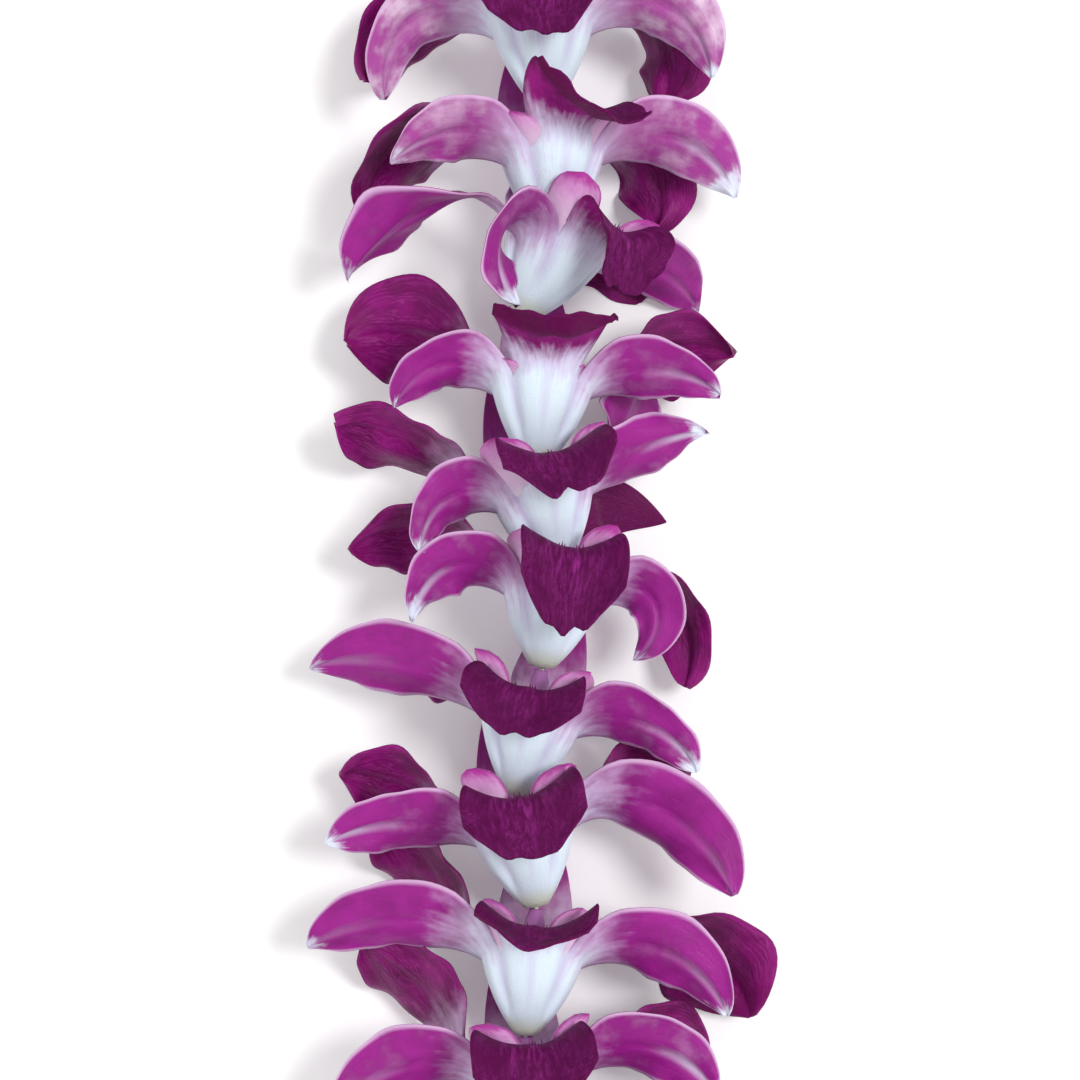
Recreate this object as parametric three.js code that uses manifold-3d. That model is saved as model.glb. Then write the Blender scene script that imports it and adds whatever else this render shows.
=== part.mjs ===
// A fresh orchid lei: fifty dendrobium blossoms strung nose to tail on one cotton thread, tied in a ring and
// laid flat. Millimetres, +Z up. The origin is under the middle of the ring, on the surface that it lies on.
// The ring has two straight strands joined by two round ends. The strand at -X is the one shown in close-up.

import * as THREE from "three";
import { mergeVertices } from "three/addons/utils/BufferGeometryUtils.js";
import Module from "manifold-3d";

const wasm = await Module();
wasm.setup();

const DEGREE = Math.PI / 180;

// The ring and its thread
const BLOSSOM_COUNT = 50;
const PITCH = 18.6; // mean distance from one nose to the next
const END_RADIUS = 90; // of the round ends, at the thread
const THREAD_HEIGHT = 18;
const THREAD_RADIUS = 0.5;
const THREAD_SIDES = 6;
const KNOT_BLOSSOM = 30; // the knot sits in this blossom's throat
const KNOT_HEIGHT = 10.5; // above its nose tip
const KNOT_RADIUS = 1.7;
const TAIL_REACH = 4; // of the two cut ends beyond the knot
const RING_LENGTH = BLOSSOM_COUNT * PITCH;
const STRAIGHT_LENGTH = RING_LENGTH / 2 - Math.PI * END_RADIUS;

// One blossom, in its own frame: the origin is its nose's tip, +Y is the way it opens and +Z the lip side. It
// is a cup with six tepals round its rim: the lip, two side sepals, two petals and the back sepal.
const SKIN = 0.8; // thickness of sepals, petals and lip
const HOLE_RADIUS = 0.95; // round the thread
const NOSE_RADIUS = 1.9;
const CUP_SWELL = 9.5; // how much wider than its nose the cup grows
const CUP_RISE = 10.5; // height over which most of it comes
const SHOULDER_HEIGHT = 4.2;
const FLOOR_HEIGHT = 5.2; // bottom of the throat
const FLOOR_RADIUS = 4.2;
const SPLIT = 0.27; // share of a tepal over which it leaves the round of the cup
const RIB_STEPS = 24; // steps along a midrib when its curve is added up
const COLUMNS = 2; // of each tepal, across
const CUP_SIDES = 6;

// A tepal leaves the cup's rim along its midrib. azimuths run round +Y from the lip side: first edge, midrib,
// second edge, and heights are the rim's there. spread turns it from +Y towards the side, depth lifts it
// towards the lip side, and tilt turns its blade from facing the lip side to edge-on. Each goes from its root
// value to its tip value as fast as ease says. keel is how far the edges fall back from the midrib, for each
// half width, and roundEnd how much shorter the blade is at its edges.
const LIP = {
  azimuths: [-42, 0, 42],
  heights: [13.5, 14, 13.5],
  length: 18,
  half: 10,
  spread: [0, 0],
  depth: [8, 158],
  tilt: [0, 0],
  keel: [0.4, 0.45],
  ease: (t) => smooth(0, 0.6, t),
  outline: (t) => mix(0.62, 1, smooth(0.05, 0.55, t)) * mix(1, 0.6, smooth(0.72, 1, t)),
  roundEnd: 0.34,
  rows: [0.25, 0.48, 0.76, 1],
};
const SIDE_SEPAL = {
  azimuths: [42, 68, 98],
  heights: [13.5, 13, 10],
  length: 27,
  half: 7.1,
  spread: [34, 150],
  depth: [14, -10],
  tilt: [44, 22],
  keel: [0.2, 0.2],
  ease: (t) => Math.pow(t, 0.65),
  outline: (t) => mix(0.88, 1, smooth(0.1, 0.5, t)) * Math.pow(1 - Math.pow(t, 2.9), 0.8),
  roundEnd: 0,
  rows: [0.24, 0.5, 0.78, 1],
};
const PETAL = {
  azimuths: [98, 120, 140],
  heights: [10, 12, 11.5],
  length: 25,
  half: 10,
  spread: [26, 132],
  depth: [-32, 14],
  tilt: [88, 38],
  keel: [0.1, 0.12],
  ease: (t) => Math.pow(t, 0.6),
  outline: (t) => mix(0.45, 1, smooth(0.1, 0.55, t)) * Math.pow(1 - Math.pow(t, 3.2), 0.75),
  roundEnd: 0,
  rows: [0.26, 0.62, 0.97],
};
const BACK_SEPAL = {
  azimuths: [140, 180, 220],
  heights: [11.5, 13, 11.5],
  length: 25,
  half: 6.5,
  spread: [0, 0],
  depth: [-34, -8],
  tilt: [180, 180],
  keel: [0.15, 0.15],
  ease: (t) => t,
  outline: (t) => Math.pow(1 - Math.pow(t, 2.1), 0.9),
  roundEnd: 0,
  rows: [0.5, 1],
};

// How one tepal differs from the plain one: lift turns it towards +Y, nod lifts it towards the lip side and
// twist turns its blade edge-on, all in degrees at its tip. early turns it away from +Y soon after the rim, in
// degrees. size scales it and breadth its width alone.
const PLAIN = { lift: 0, nod: 0, twist: 0, early: 0, size: 1, breadth: 1 };

// How a whole blossom lies on the thread: aside is how far its nose strays, turn is round the strand and roll
// leans the flower sideways, in degrees. A pose lists only what differs from this.
const AT_EASE = {
  aside: 0,
  turn: 0,
  roll: 0,
  lip: PLAIN,
  rightSepal: PLAIN,
  rightPetal: PLAIN,
  backSepal: PLAIN,
  leftPetal: PLAIN,
  leftSepal: PLAIN,
};

// The blossoms of the near strand, from the bottom up. nose is how far along the strand its tip lies.
const NEAR_STRAND = [
  {
    nose: -98.8,
    aside: -1,
    turn: 4,
    leftSepal: { lift: 8, size: 1.05 },
    rightSepal: { lift: -6 },
    leftPetal: { lift: 62, early: -40, size: 1.22, breadth: 1.05 },
  },
  {
    nose: -80,
    aside: -2.3,
    leftSepal: { lift: 20, size: 1.15 },
    rightSepal: { lift: -4, size: 1.1 },
    leftPetal: { lift: 56, early: -30, size: 1.2 },
    rightPetal: { lift: -20, nod: -12, size: 1.5, breadth: 1.15 },
    lip: { nod: -60, size: 0.85, breadth: 1.15 },
  },
  {
    nose: -59.3,
    aside: -0.6,
    turn: 3,
    leftSepal: { lift: 38, size: 0.94 },
    rightSepal: { lift: -10, nod: 14, early: 26, size: 1.28 },
    leftPetal: { lift: 38, early: -30, size: 1.05 },
    rightPetal: { lift: 26, size: 0.95, breadth: 0.85 },
  },
  {
    nose: -41.3,
    aside: -3.7,
    turn: -8,
    leftSepal: { lift: 28, size: 1.15 },
    rightSepal: { lift: 8, size: 0.86 },
    leftPetal: { lift: 26, size: 0.7 },
    rightPetal: { size: 0.75 },
    lip: { size: 0.78, breadth: 1.25 },
  },
  {
    nose: -20.6,
    aside: 0.3,
    turn: 8,
    leftSepal: { lift: -28, size: 0.8 },
    rightSepal: { lift: -75, size: 0.76, breadth: 0.9 },
    leftPetal: { lift: -4, early: -20, size: 1.2 },
    rightPetal: { lift: -56, size: 1.25, breadth: 0.6 },
    lip: { nod: 6, size: 1.35, breadth: 0.62 },
    backSepal: { lift: -100, size: 1.3 },
  },
  {
    nose: -5,
    aside: 2.4,
    turn: 12,
    leftSepal: { lift: -18, twist: -10, size: 0.7 },
    rightSepal: { lift: 50, size: 0.8 },
    leftPetal: { lift: 38, early: -34, twist: 10, size: 1.22, breadth: 0.94 },
    rightPetal: { lift: 90, size: 0.95 },
    lip: { nod: -25, breadth: 0.92 },
  },
  {
    nose: 12.3,
    aside: -0.6,
    turn: 6,
    roll: -9,
    leftSepal: { lift: -8, size: 0.74 },
    rightSepal: { lift: 26, size: 0.84 },
    leftPetal: { lift: 10, early: -20, twist: -20, size: 1.12, breadth: 1.15 },
    rightPetal: { lift: 18, early: -20, size: 1.15 },
    lip: { nod: -105 },
  },
  {
    nose: 36.3,
    aside: -2.9,
    turn: 42,
    roll: -5,
    leftSepal: { lift: -70, nod: 38, early: 40, size: 0.86 },
    rightSepal: { lift: 30, size: 0.95 },
    leftPetal: { lift: -36, nod: -36, twist: -26, early: 50, size: 1.35, breadth: 0.7 },
    rightPetal: { size: 0.9 },
    backSepal: { size: 0.65 },
    lip: { breadth: 0.75 },
  },
  {
    nose: 49.6,
    aside: 1.9,
    turn: 16,
    roll: -3,
    leftSepal: { lift: 12, size: 0.82 },
    rightSepal: { lift: -4, size: 1.02 },
    leftPetal: { lift: -30, nod: -16, size: 1.2, breadth: 1.15 },
    rightPetal: { lift: -62, size: 0.98 },
    lip: { lift: -36, nod: -72 },
  },
  {
    nose: 70.5,
    aside: 0.8,
    leftSepal: { lift: -32, size: 1.05, breadth: 0.8 },
    rightSepal: { lift: -24, size: 1.02 },
    leftPetal: { lift: -24, size: 1.12 },
    rightPetal: { lift: -74, size: 1.08 },
  },
  {
    nose: 89.9,
    rightPetal: { size: 0.85 },
  },
];

// A share from 0 to 1 for blossom k, evenly spread over the blossoms without ever settling into a pattern
function evenShare(k, salt) {
  return (k * 0.6180339887 + salt * 0.4142135624) % 1;
}

// The pose of a blossom outside the near strand. Its right side is the ring's inner one, with less room.
function ordinaryPose(k, nose) {
  const pick = (salt, low, high) => mix(low, high, evenShare(k, salt));
  return {
    nose,
    aside: pick(1, -1.5, 1.5),
    turn: pick(2, -12, 12),
    roll: pick(3, -4, 4),
    leftSepal: { lift: pick(4, -10, 10), twist: pick(5, -6, 6), size: pick(6, 0.94, 1.14) },
    rightSepal: { lift: pick(7, -2, 10), twist: pick(8, -4, 4), size: pick(9, 0.88, 1.04) },
    leftPetal: { lift: pick(10, -4, 4), twist: pick(11, -4, 4), size: pick(12, 0.92, 1.08) },
    rightPetal: { lift: pick(13, -4, 2), twist: pick(14, -3, 3), size: pick(15, 0.86, 0.96) },
    backSepal: { lift: pick(16, -5, 5), size: pick(17, 0.92, 1.08) },
    lip: { nod: pick(18, -60, 0) },
  };
}

// All the poses, in order along the thread
function allPoses() {
  const first = NEAR_STRAND[0].nose;
  const last = NEAR_STRAND[NEAR_STRAND.length - 1].nose;
  const rest = BLOSSOM_COUNT - NEAR_STRAND.length;
  const step = (RING_LENGTH - (last - first)) / (rest + 1);
  const others = Array.from({ length: rest }, (_, i) => {
    return ordinaryPose(NEAR_STRAND.length + i, last + step * (i + 1));
  });
  return [...NEAR_STRAND, ...others].map((pose) => ({ ...AT_EASE, ...pose }));
}

// The point of the ring at a distance along the thread from the near strand's middle, with its outward side
function ringPoint(distance) {
  const half = STRAIGHT_LENGTH / 2;
  const arc = Math.PI * END_RADIUS;
  const s = (((distance + half) % RING_LENGTH) + RING_LENGTH) % RING_LENGTH;
  const centre = new THREE.Vector3(0, half, THREAD_HEIGHT);
  let out = new THREE.Vector3(-1, 0, 0);
  if (s < STRAIGHT_LENGTH) {
    centre.y = s - half;
  } else if (s < STRAIGHT_LENGTH + arc) {
    const a = (s - STRAIGHT_LENGTH) / END_RADIUS;
    out = new THREE.Vector3(-Math.cos(a), Math.sin(a), 0);
  } else if (s < 2 * STRAIGHT_LENGTH + arc) {
    centre.y = half - (s - STRAIGHT_LENGTH - arc);
    out = new THREE.Vector3(1, 0, 0);
  } else {
    const a = (s - 2 * STRAIGHT_LENGTH - arc) / END_RADIUS;
    centre.y = -half;
    out = new THREE.Vector3(Math.cos(a), -Math.sin(a), 0);
  }
  return { at: out.clone().multiplyScalar(END_RADIUS).add(centre), out };
}

// Where each nose tip lies. aside is to the right of a blossom, which is towards the ring's middle
function nosePoints(poses) {
  return poses.map((pose) => {
    const { at, out } = ringPoint(pose.nose);
    return at.addScaledVector(out, -pose.aside);
  });
}

function mix(a, b, share) {
  return a + (b - a) * share;
}

function smooth(low, high, x) {
  const t = Math.min(1, Math.max(0, (x - low) / (high - low)));
  return t * t * (3 - 2 * t);
}

// The value at share v of a row of three: its first, middle and last
function between(three, v) {
  return v < 0.5 ? mix(three[0], three[1], 2 * v) : mix(three[1], three[2], 2 * v - 1);
}

// The cup's radius at a height above the nose tip
function cupRadius(y) {
  return NOSE_RADIUS + CUP_SWELL * (1 - Math.exp(-y / CUP_RISE));
}

// A point of a ring round +Y
function aroundCup(azimuth, y, radius) {
  return new THREE.Vector3(radius * Math.sin(azimuth * DEGREE), y, radius * Math.cos(azimuth * DEGREE));
}

// The directions at share t of a tepal: along its midrib, across its blade and out of its outer face
function tepalAxes(tepal, bend, t) {
  const done = tepal.ease(t);
  const late = smooth(0, 0.9, t);
  const open = bend.early * smooth(0, 0.3, t) * (1 - 0.6 * late);
  const spread = (mix(tepal.spread[0], tepal.spread[1], done) - bend.lift * late + open) * DEGREE;
  const depth = (mix(tepal.depth[0], tepal.depth[1], done) + bend.nod * late) * DEGREE;
  const tilt = (mix(tepal.tilt[0], tepal.tilt[1], late) + bend.twist * late) * DEGREE;
  const flat = new THREE.Vector3(Math.sin(spread), Math.cos(spread), 0);
  const along = flat.multiplyScalar(Math.cos(depth)).setZ(Math.sin(depth));
  const up = new THREE.Vector3(-Math.cos(spread), Math.sin(spread), 0);
  const front = new THREE.Vector3().crossVectors(along, up);
  const across = up.clone().multiplyScalar(Math.cos(tilt)).addScaledVector(front, Math.sin(tilt));
  return { along, across, outward: new THREE.Vector3().crossVectors(along, across) };
}

// The outer and inner points of a tepal at a share of its length past the rim, for v from 0 to 1 across
function tepalPoints(tepal, change, share, v) {
  const bend = { ...PLAIN, ...change };
  const side = 1 - 2 * v;
  const t = share * (1 - tepal.roundEnd * Math.pow(Math.abs(side), 2.6) * smooth(0.15, 1, share));
  const root = aroundCup(tepal.azimuths[1], tepal.heights[1], cupRadius(tepal.heights[1]));
  const mid = root.clone();
  for (let i = 0; i < RIB_STEPS; i++) {
    const { along } = tepalAxes(tepal, bend, ((i + 0.5) * t) / RIB_STEPS);
    mid.addScaledVector(along, (tepal.length * bend.size * t) / RIB_STEPS);
  }
  const { across, outward } = tepalAxes(tepal, bend, t);
  const half = tepal.half * mix(1, bend.size * bend.breadth, smooth(0, 0.8, t)) * tepal.outline(t);
  const keel = mix(tepal.keel[0], tepal.keel[1], t);
  const blade = mid.clone().addScaledVector(across, half * side);
  blade.addScaledVector(outward, -keel * half * side * side);
  const azimuth = between(tepal.azimuths, v);
  const height = between(tepal.heights, v);
  const free = smooth(0, SPLIT, t);
  const outer = aroundCup(azimuth, height, cupRadius(height)).add(mid).sub(root).lerp(blade, free);
  const face = outward.clone().addScaledVector(across, 2 * keel * side).normalize();
  const inward = aroundCup(azimuth, 0, -1).lerp(face.negate(), free).normalize();
  return [outer, outer.clone().addScaledVector(inward, SKIN)];
}

// Gathers corners and triangles of one closed body. Each corner goes through place on its way in.
class Body {
  constructor(place) {
    this.place = place;
    this.corners = [];
    this.faces = [];
  }

  add(point) {
    return this.corners.push(this.place(point)) - 1;
  }

  // The outer and inner corner at one spot of a blade, raised together where the surface below is in their way
  addPair(pair) {
    const placed = pair.map(this.place);
    const sunk = Math.min(0, placed[0].z, placed[1].z);
    return placed.map((p) => this.corners.push(p.setZ(p.z - sunk)) - 1);
  }

  // The triangles between two rows of corners, the second further along, which may differ in number
  band(low, high, inward = false) {
    let i = 0;
    let j = 0;
    while (i < low.length - 1 || j < high.length - 1) {
      const lowNext = (i + 1) / (low.length - 1);
      const highNext = (j + 1) / (high.length - 1);
      const face = [low[i], low[i + 1], high[j]];
      if (high.length === 1 || lowNext <= highNext) {
        i++;
      } else {
        face.splice(1, 2, high[j + 1], high[j]);
        j++;
      }
      this.faces.push(...(inward ? face.reverse() : face));
    }
  }

  // The same between two closed rings
  ringBand(low, high, inward = false) {
    this.band([...low, low[0]], [...high, high[0]], inward);
  }

  geometry() {
    const numbers = this.corners.flatMap((corner) => corner.toArray());
    return new THREE.BufferGeometry()
      .setAttribute("position", new THREE.BufferAttribute(new Float32Array(numbers), 3))
      .setIndex(new THREE.BufferAttribute(new Uint32Array(this.faces), 1));
  }
}

// The six tepals of a blossom in order round its rim. Those on the left mirror the ones on the right.
function tepalsOf(pose) {
  const right = (tepal, bend) => ({ rows: tepal.rows, points: (t, v) => tepalPoints(tepal, bend, t, v) });
  const left = (tepal, bend) => ({
    rows: tepal.rows,
    points: (t, v) => tepalPoints(tepal, bend, t, 1 - v).map((p) => p.setX(-p.x)),
  });
  return [
    right(LIP, pose.lip),
    right(SIDE_SEPAL, pose.rightSepal),
    right(PETAL, pose.rightPetal),
    right(BACK_SEPAL, pose.backSepal),
    left(PETAL, pose.leftPetal),
    left(SIDE_SEPAL, pose.leftSepal),
  ];
}

// One tepal's blade, from the rim's corners to its tip
function addBlade(body, { rows, points }, rimOut, rimIn) {
  let outer = rimOut;
  let inner = rimIn;
  for (const t of rows) {
    const pointed = points(t, 0)[0].distanceTo(points(t, 1)[0]) < SKIN;
    const shares = pointed ? [0.5] : Array.from({ length: COLUMNS + 1 }, (_, i) => i / COLUMNS);
    const pairs = shares.map((v) => body.addPair(points(t, v)));
    const nextOuter = pairs.map(([corner]) => corner);
    const nextInner = pairs.map(([, corner]) => corner);
    body.band(outer, nextOuter);
    body.band(inner, nextInner, true);
    body.band([inner[0], outer[0]], [nextInner[0], nextOuter[0]]);
    body.band([outer.at(-1), inner.at(-1)], [nextOuter.at(-1), nextInner.at(-1)]);
    outer = nextOuter;
    inner = nextInner;
  }
  if (outer.length > 1) {
    body.band(outer, inner);
  }
}

// A blossom as one closed body: the cup, its throat, the hole for the thread and the tepals
function blossomBody(pose, place) {
  const body = new Body(place);
  const tepals = tepalsOf(pose);
  const rim = tepals.flatMap(({ points }) => Array.from({ length: COLUMNS }, (_, i) => points(0, i / COLUMNS)));
  const rimOut = rim.map(([outer]) => body.add(outer));
  const rimIn = rim.map(([, inner]) => body.add(inner));
  const ring = (sides, y, radius) => {
    return Array.from({ length: sides }, (_, i) => body.add(aroundCup((i * 360) / sides - 30, y, radius)));
  };
  const holeLow = ring(CUP_SIDES, 0, HOLE_RADIUS);
  const nose = ring(CUP_SIDES, 0, NOSE_RADIUS);
  const shoulder = ring(2 * CUP_SIDES, SHOULDER_HEIGHT, cupRadius(SHOULDER_HEIGHT));
  const floor = ring(CUP_SIDES, FLOOR_HEIGHT, FLOOR_RADIUS);
  const holeHigh = ring(CUP_SIDES, FLOOR_HEIGHT, HOLE_RADIUS);
  body.ringBand(holeLow, nose);
  body.ringBand(nose, shoulder);
  body.ringBand(shoulder, rimOut);
  body.ringBand(floor, rimIn, true);
  body.ringBand(holeHigh, floor, true);
  body.ringBand(holeLow, holeHigh, true);
  tepals.forEach((tepal, n) => {
    const columns = Array.from({ length: COLUMNS + 1 }, (_, i) => (n * COLUMNS + i) % rim.length);
    addBlade(body, tepal, columns.map((c) => rimOut[c]), columns.map((c) => rimIn[c]));
  });
  return body;
}

// One blossom as a mesh, standing between its own nose point and the next one
function blossom(name, pose, nose, next, material) {
  const yAxis = next.clone().sub(nose).normalize();
  const zAxis = new THREE.Vector3(0, 0, 1);
  const xAxis = new THREE.Vector3().crossVectors(yAxis, zAxis);
  const stand = new THREE.Matrix4().makeBasis(xAxis, yAxis, zAxis).setPosition(nose);
  const turn = new THREE.Matrix4().makeRotationY(pose.turn * DEGREE);
  const roll = new THREE.Matrix4().makeRotationZ(pose.roll * DEGREE);
  const place = (point) => {
    const p = point.clone().applyMatrix4(turn);
    if (Math.hypot(p.x, p.z) > HOLE_RADIUS + 0.01) {
      p.applyMatrix4(roll);
    }
    return p.applyMatrix4(stand);
  };
  const mesh = new THREE.Mesh(blossomBody(pose, place).geometry(), material);
  mesh.name = name;
  return mesh;
}

// A path of straight stretches between points, whose even shares are the points themselves
class StraightPath extends THREE.Curve {
  constructor(points) {
    super();
    this.points = points;
  }

  getPoint(share) {
    const spans = this.points.length - 1;
    const i = Math.min(spans - 1, Math.floor(share * spans));
    return this.points[i].clone().lerp(this.points[i + 1], share * spans - i);
  }

  getUtoTmapping(share) {
    return share;
  }
}

function solidOf(geometry) {
  geometry.deleteAttribute("uv");
  geometry.deleteAttribute("normal");
  const joined = mergeVertices(geometry, 1e-4);
  const mesh = new wasm.Mesh({
    numProp: 3,
    vertProperties: joined.getAttribute("position").array,
    triVerts: new Uint32Array(joined.index.array),
  });
  return new wasm.Manifold(mesh);
}

function geometryOf(solid) {
  const mesh = solid.getMesh();
  return new THREE.BufferGeometry()
    .setAttribute("position", new THREE.BufferAttribute(mesh.vertProperties, 3))
    .setIndex(new THREE.BufferAttribute(mesh.triVerts, 1));
}

// A length of thread through the points
function cord(points) {
  const corners = Array.from({ length: THREAD_SIDES }, (_, i) => {
    const angle = (i * 2 * Math.PI) / THREAD_SIDES;
    return new THREE.Vector2(THREAD_RADIUS * Math.cos(angle), THREAD_RADIUS * Math.sin(angle));
  });
  const options = { steps: points.length - 1, extrudePath: new StraightPath(points) };
  return solidOf(new THREE.ExtrudeGeometry(new THREE.Shape(corners), options));
}

// The thread goes through every nose and back to the knot, which holds both its ends and their cut tails
function thread(noses, material) {
  const nose = noses[KNOT_BLOSSOM - 1];
  const chord = noses[KNOT_BLOSSOM].clone().sub(nose).normalize();
  const side = new THREE.Vector3(-chord.y, chord.x, 0);
  const middle = nose.clone().addScaledVector(chord, KNOT_HEIGHT);
  const away = (along, across, up) => {
    const point = middle.clone().addScaledVector(chord, along).addScaledVector(side, across);
    return point.setZ(middle.z + up);
  };
  const round = [...noses.slice(KNOT_BLOSSOM), ...noses.slice(0, KNOT_BLOSSOM)];
  const end = 0.4 * KNOT_RADIUS;
  const knot = new THREE.IcosahedronGeometry(KNOT_RADIUS, 1);
  knot.translate(middle.x, middle.y, middle.z);
  const parts = [
    cord([away(end, 0, 0), ...round, away(-end, 0, 0)]),
    cord([away(0, 0.5, 0.5), away(1, 2, 1), away(3, TAIL_REACH, 0.5)]),
    cord([away(0, -0.5, 0.5), away(1, -2, 0.5), away(2, -TAIL_REACH, 2)]),
    solidOf(knot),
  ];
  const mesh = new THREE.Mesh(geometryOf(wasm.Manifold.union(parts)), material);
  mesh.name = "thread";
  return mesh;
}

const petalMaterial = new THREE.MeshStandardMaterial({ name: "blossom", color: 0xa02a8c, roughness: 0.5 });
const threadMaterial = new THREE.MeshStandardMaterial({ name: "thread", color: 0xf2eee2, roughness: 0.9 });

const lei = new THREE.Group();
lei.name = "orchid_lei";
const poses = allPoses();
const noses = nosePoints(poses);
poses.forEach((pose, i) => {
  const name = "blossom_" + String(i + 1).padStart(2, "0");
  lei.add(blossom(name, pose, noses[i], noses[(i + 1) % noses.length], petalMaterial));
});
lei.add(thread(noses, threadMaterial));

export default lei;
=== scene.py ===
"""A fresh orchid lei, laid flat on a pale table: fifty blossoms strung nose to tail on one cotton thread.

Lengths are millimetres while a piece is being shaped and metres once its mesh is made. The origin is under the
middle of the ring, on the table, with +Z up. Each blossom has a frame of its own: the origin is the tip of its nose,
+Y is the way it opens and +Z is the side of its lip.
"""

import logging
import math
from collections.abc import Callable
from dataclasses import dataclass, field
from enum import Enum

import bmesh
import bpy
import numpy as np
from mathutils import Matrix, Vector


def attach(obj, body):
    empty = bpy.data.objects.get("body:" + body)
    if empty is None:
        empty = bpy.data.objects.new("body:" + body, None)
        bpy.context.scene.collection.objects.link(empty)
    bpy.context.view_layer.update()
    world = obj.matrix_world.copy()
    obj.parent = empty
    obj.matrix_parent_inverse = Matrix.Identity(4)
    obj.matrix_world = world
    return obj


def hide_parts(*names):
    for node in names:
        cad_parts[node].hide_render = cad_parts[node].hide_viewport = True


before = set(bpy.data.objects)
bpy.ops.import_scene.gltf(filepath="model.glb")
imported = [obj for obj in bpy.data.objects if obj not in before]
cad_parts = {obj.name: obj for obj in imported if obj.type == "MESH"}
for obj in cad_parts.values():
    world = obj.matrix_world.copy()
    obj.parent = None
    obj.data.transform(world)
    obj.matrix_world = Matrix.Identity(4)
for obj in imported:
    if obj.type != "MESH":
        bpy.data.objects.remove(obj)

MM = 0.001
GOLDEN = 0.6180339887
SILVER = 0.4142135624
RIM_SHARE = 0.3
NEARLY_FLAT = 1e-4
TEPAL_SALT = 30
EAR_SALTS = (41, 44, 47)
HAIR_SALTS = (50, 51)
LOG = logging.getLogger("lei")

Array = np.ndarray
Number = Array | float
Colour = tuple[float, float, float, float]
Material = bpy.types.Material
Node = bpy.types.Node
Object = bpy.types.Object
Socket = bpy.types.NodeSocket
Tree = bpy.types.NodeTree
Curve = Callable[[Array], Array]
Span = tuple[float, float]
Value = Socket | float


def mix(low: Number, high: Number, share: Number) -> Number:
    """Returns the value at a share of the way from low to high."""
    return low + (high - low) * share


def smooth(low: float, high: float, x: Number) -> Number:
    """Eases from 0 at low to 1 at high.

    Args:
        low: where the rise starts.
        high: where it ends.
        x: the value or values to ease.

    Returns:
        The eased value, flat outside the two ends.
    """
    t = np.clip((x - low) / (high - low), 0.0, 1.0)
    return t * t * (3 - 2 * t)


def even_share(k: float, salt: float) -> float:
    """Returns a share from 0 to 1 for item k, evenly spread without ever settling into a pattern."""
    return (k * GOLDEN + salt * SILVER) % 1


def between(three: tuple[float, float, float], v: Array) -> Array:
    """Returns the value at share v of a row of three: its first, middle and last."""
    first, middle, last = three
    return np.where(v < 0.5, mix(first, middle, 2 * v), mix(middle, last, 2 * v - 1))


def unit(vectors: Array) -> Array:
    """Returns the vectors at length one."""
    return vectors / np.maximum(np.linalg.norm(vectors, axis=-1, keepdims=True), 1e-9)


def sheet(rows: int, columns: int) -> tuple[Array, Array]:
    """Returns the shares along and across at the corners of a grid."""
    return np.meshgrid(np.linspace(0, 1, rows + 1), np.linspace(0, 1, columns + 1), indexing="ij")


def beside(path: Array) -> tuple[Array, Array]:
    """Returns two directions square to a path and to each other, at each of its points."""
    forward = unit(np.gradient(path, axis=0))
    side = unit(np.cross(forward, np.array([0.02, 0.03, 1.0])))
    return side, np.cross(forward, side)


def shade(red: int, green: int, blue: int) -> Colour:
    """Turns a screen colour into the linear one that a shader takes.

    Args:
        red: 0 to 255, as green and blue are.
        green: the second part.
        blue: the third part.

    Returns:
        The linear colour, opaque.
    """
    parts = [c / 255 for c in (red, green, blue)]
    linear = [c / 12.92 if c <= 0.04045 else ((c + 0.055) / 1.055) ** 2.4 for c in parts]
    return (linear[0], linear[1], linear[2], 1.0)


class Side(Enum):
    """The side of a blossom that a tepal grows on."""

    RIGHT = 1
    LEFT = -1


@dataclass(frozen=True)
class Bend:
    """How one tepal differs from the plain one.

    lift turns it towards +Y, nod lifts it towards the lip side and twist turns its blade edge-on, all in degrees at
    its tip. size scales it and breadth its width alone. early turns it away from +Y soon after the rim, in degrees.
    wears names the finish of another kind of tepal, where this one has its colours; the petal's finish carries
    painted shade.
    """

    lift: float = 0
    nod: float = 0
    twist: float = 0
    size: float = 1
    early: float = 0
    breadth: float = 1
    wears: str = ""


@dataclass(frozen=True)
class Pose:
    """How a whole blossom lies on the thread.

    nose is how far along the ring its tip lies and aside how far it strays. turn is round the strand and roll leans
    the flower sideways, in degrees. tint makes its petals paler or deeper and ears scales the ears of its lip.
    """

    nose: float
    aside: float = 0
    turn: float = 0
    roll: float = 0
    tint: float = 0
    ears: float = 1
    lip: Bend = Bend()
    right_sepal: Bend = Bend()
    right_petal: Bend = Bend()
    back_sepal: Bend = Bend()
    left_petal: Bend = Bend()
    left_sepal: Bend = Bend()


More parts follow.
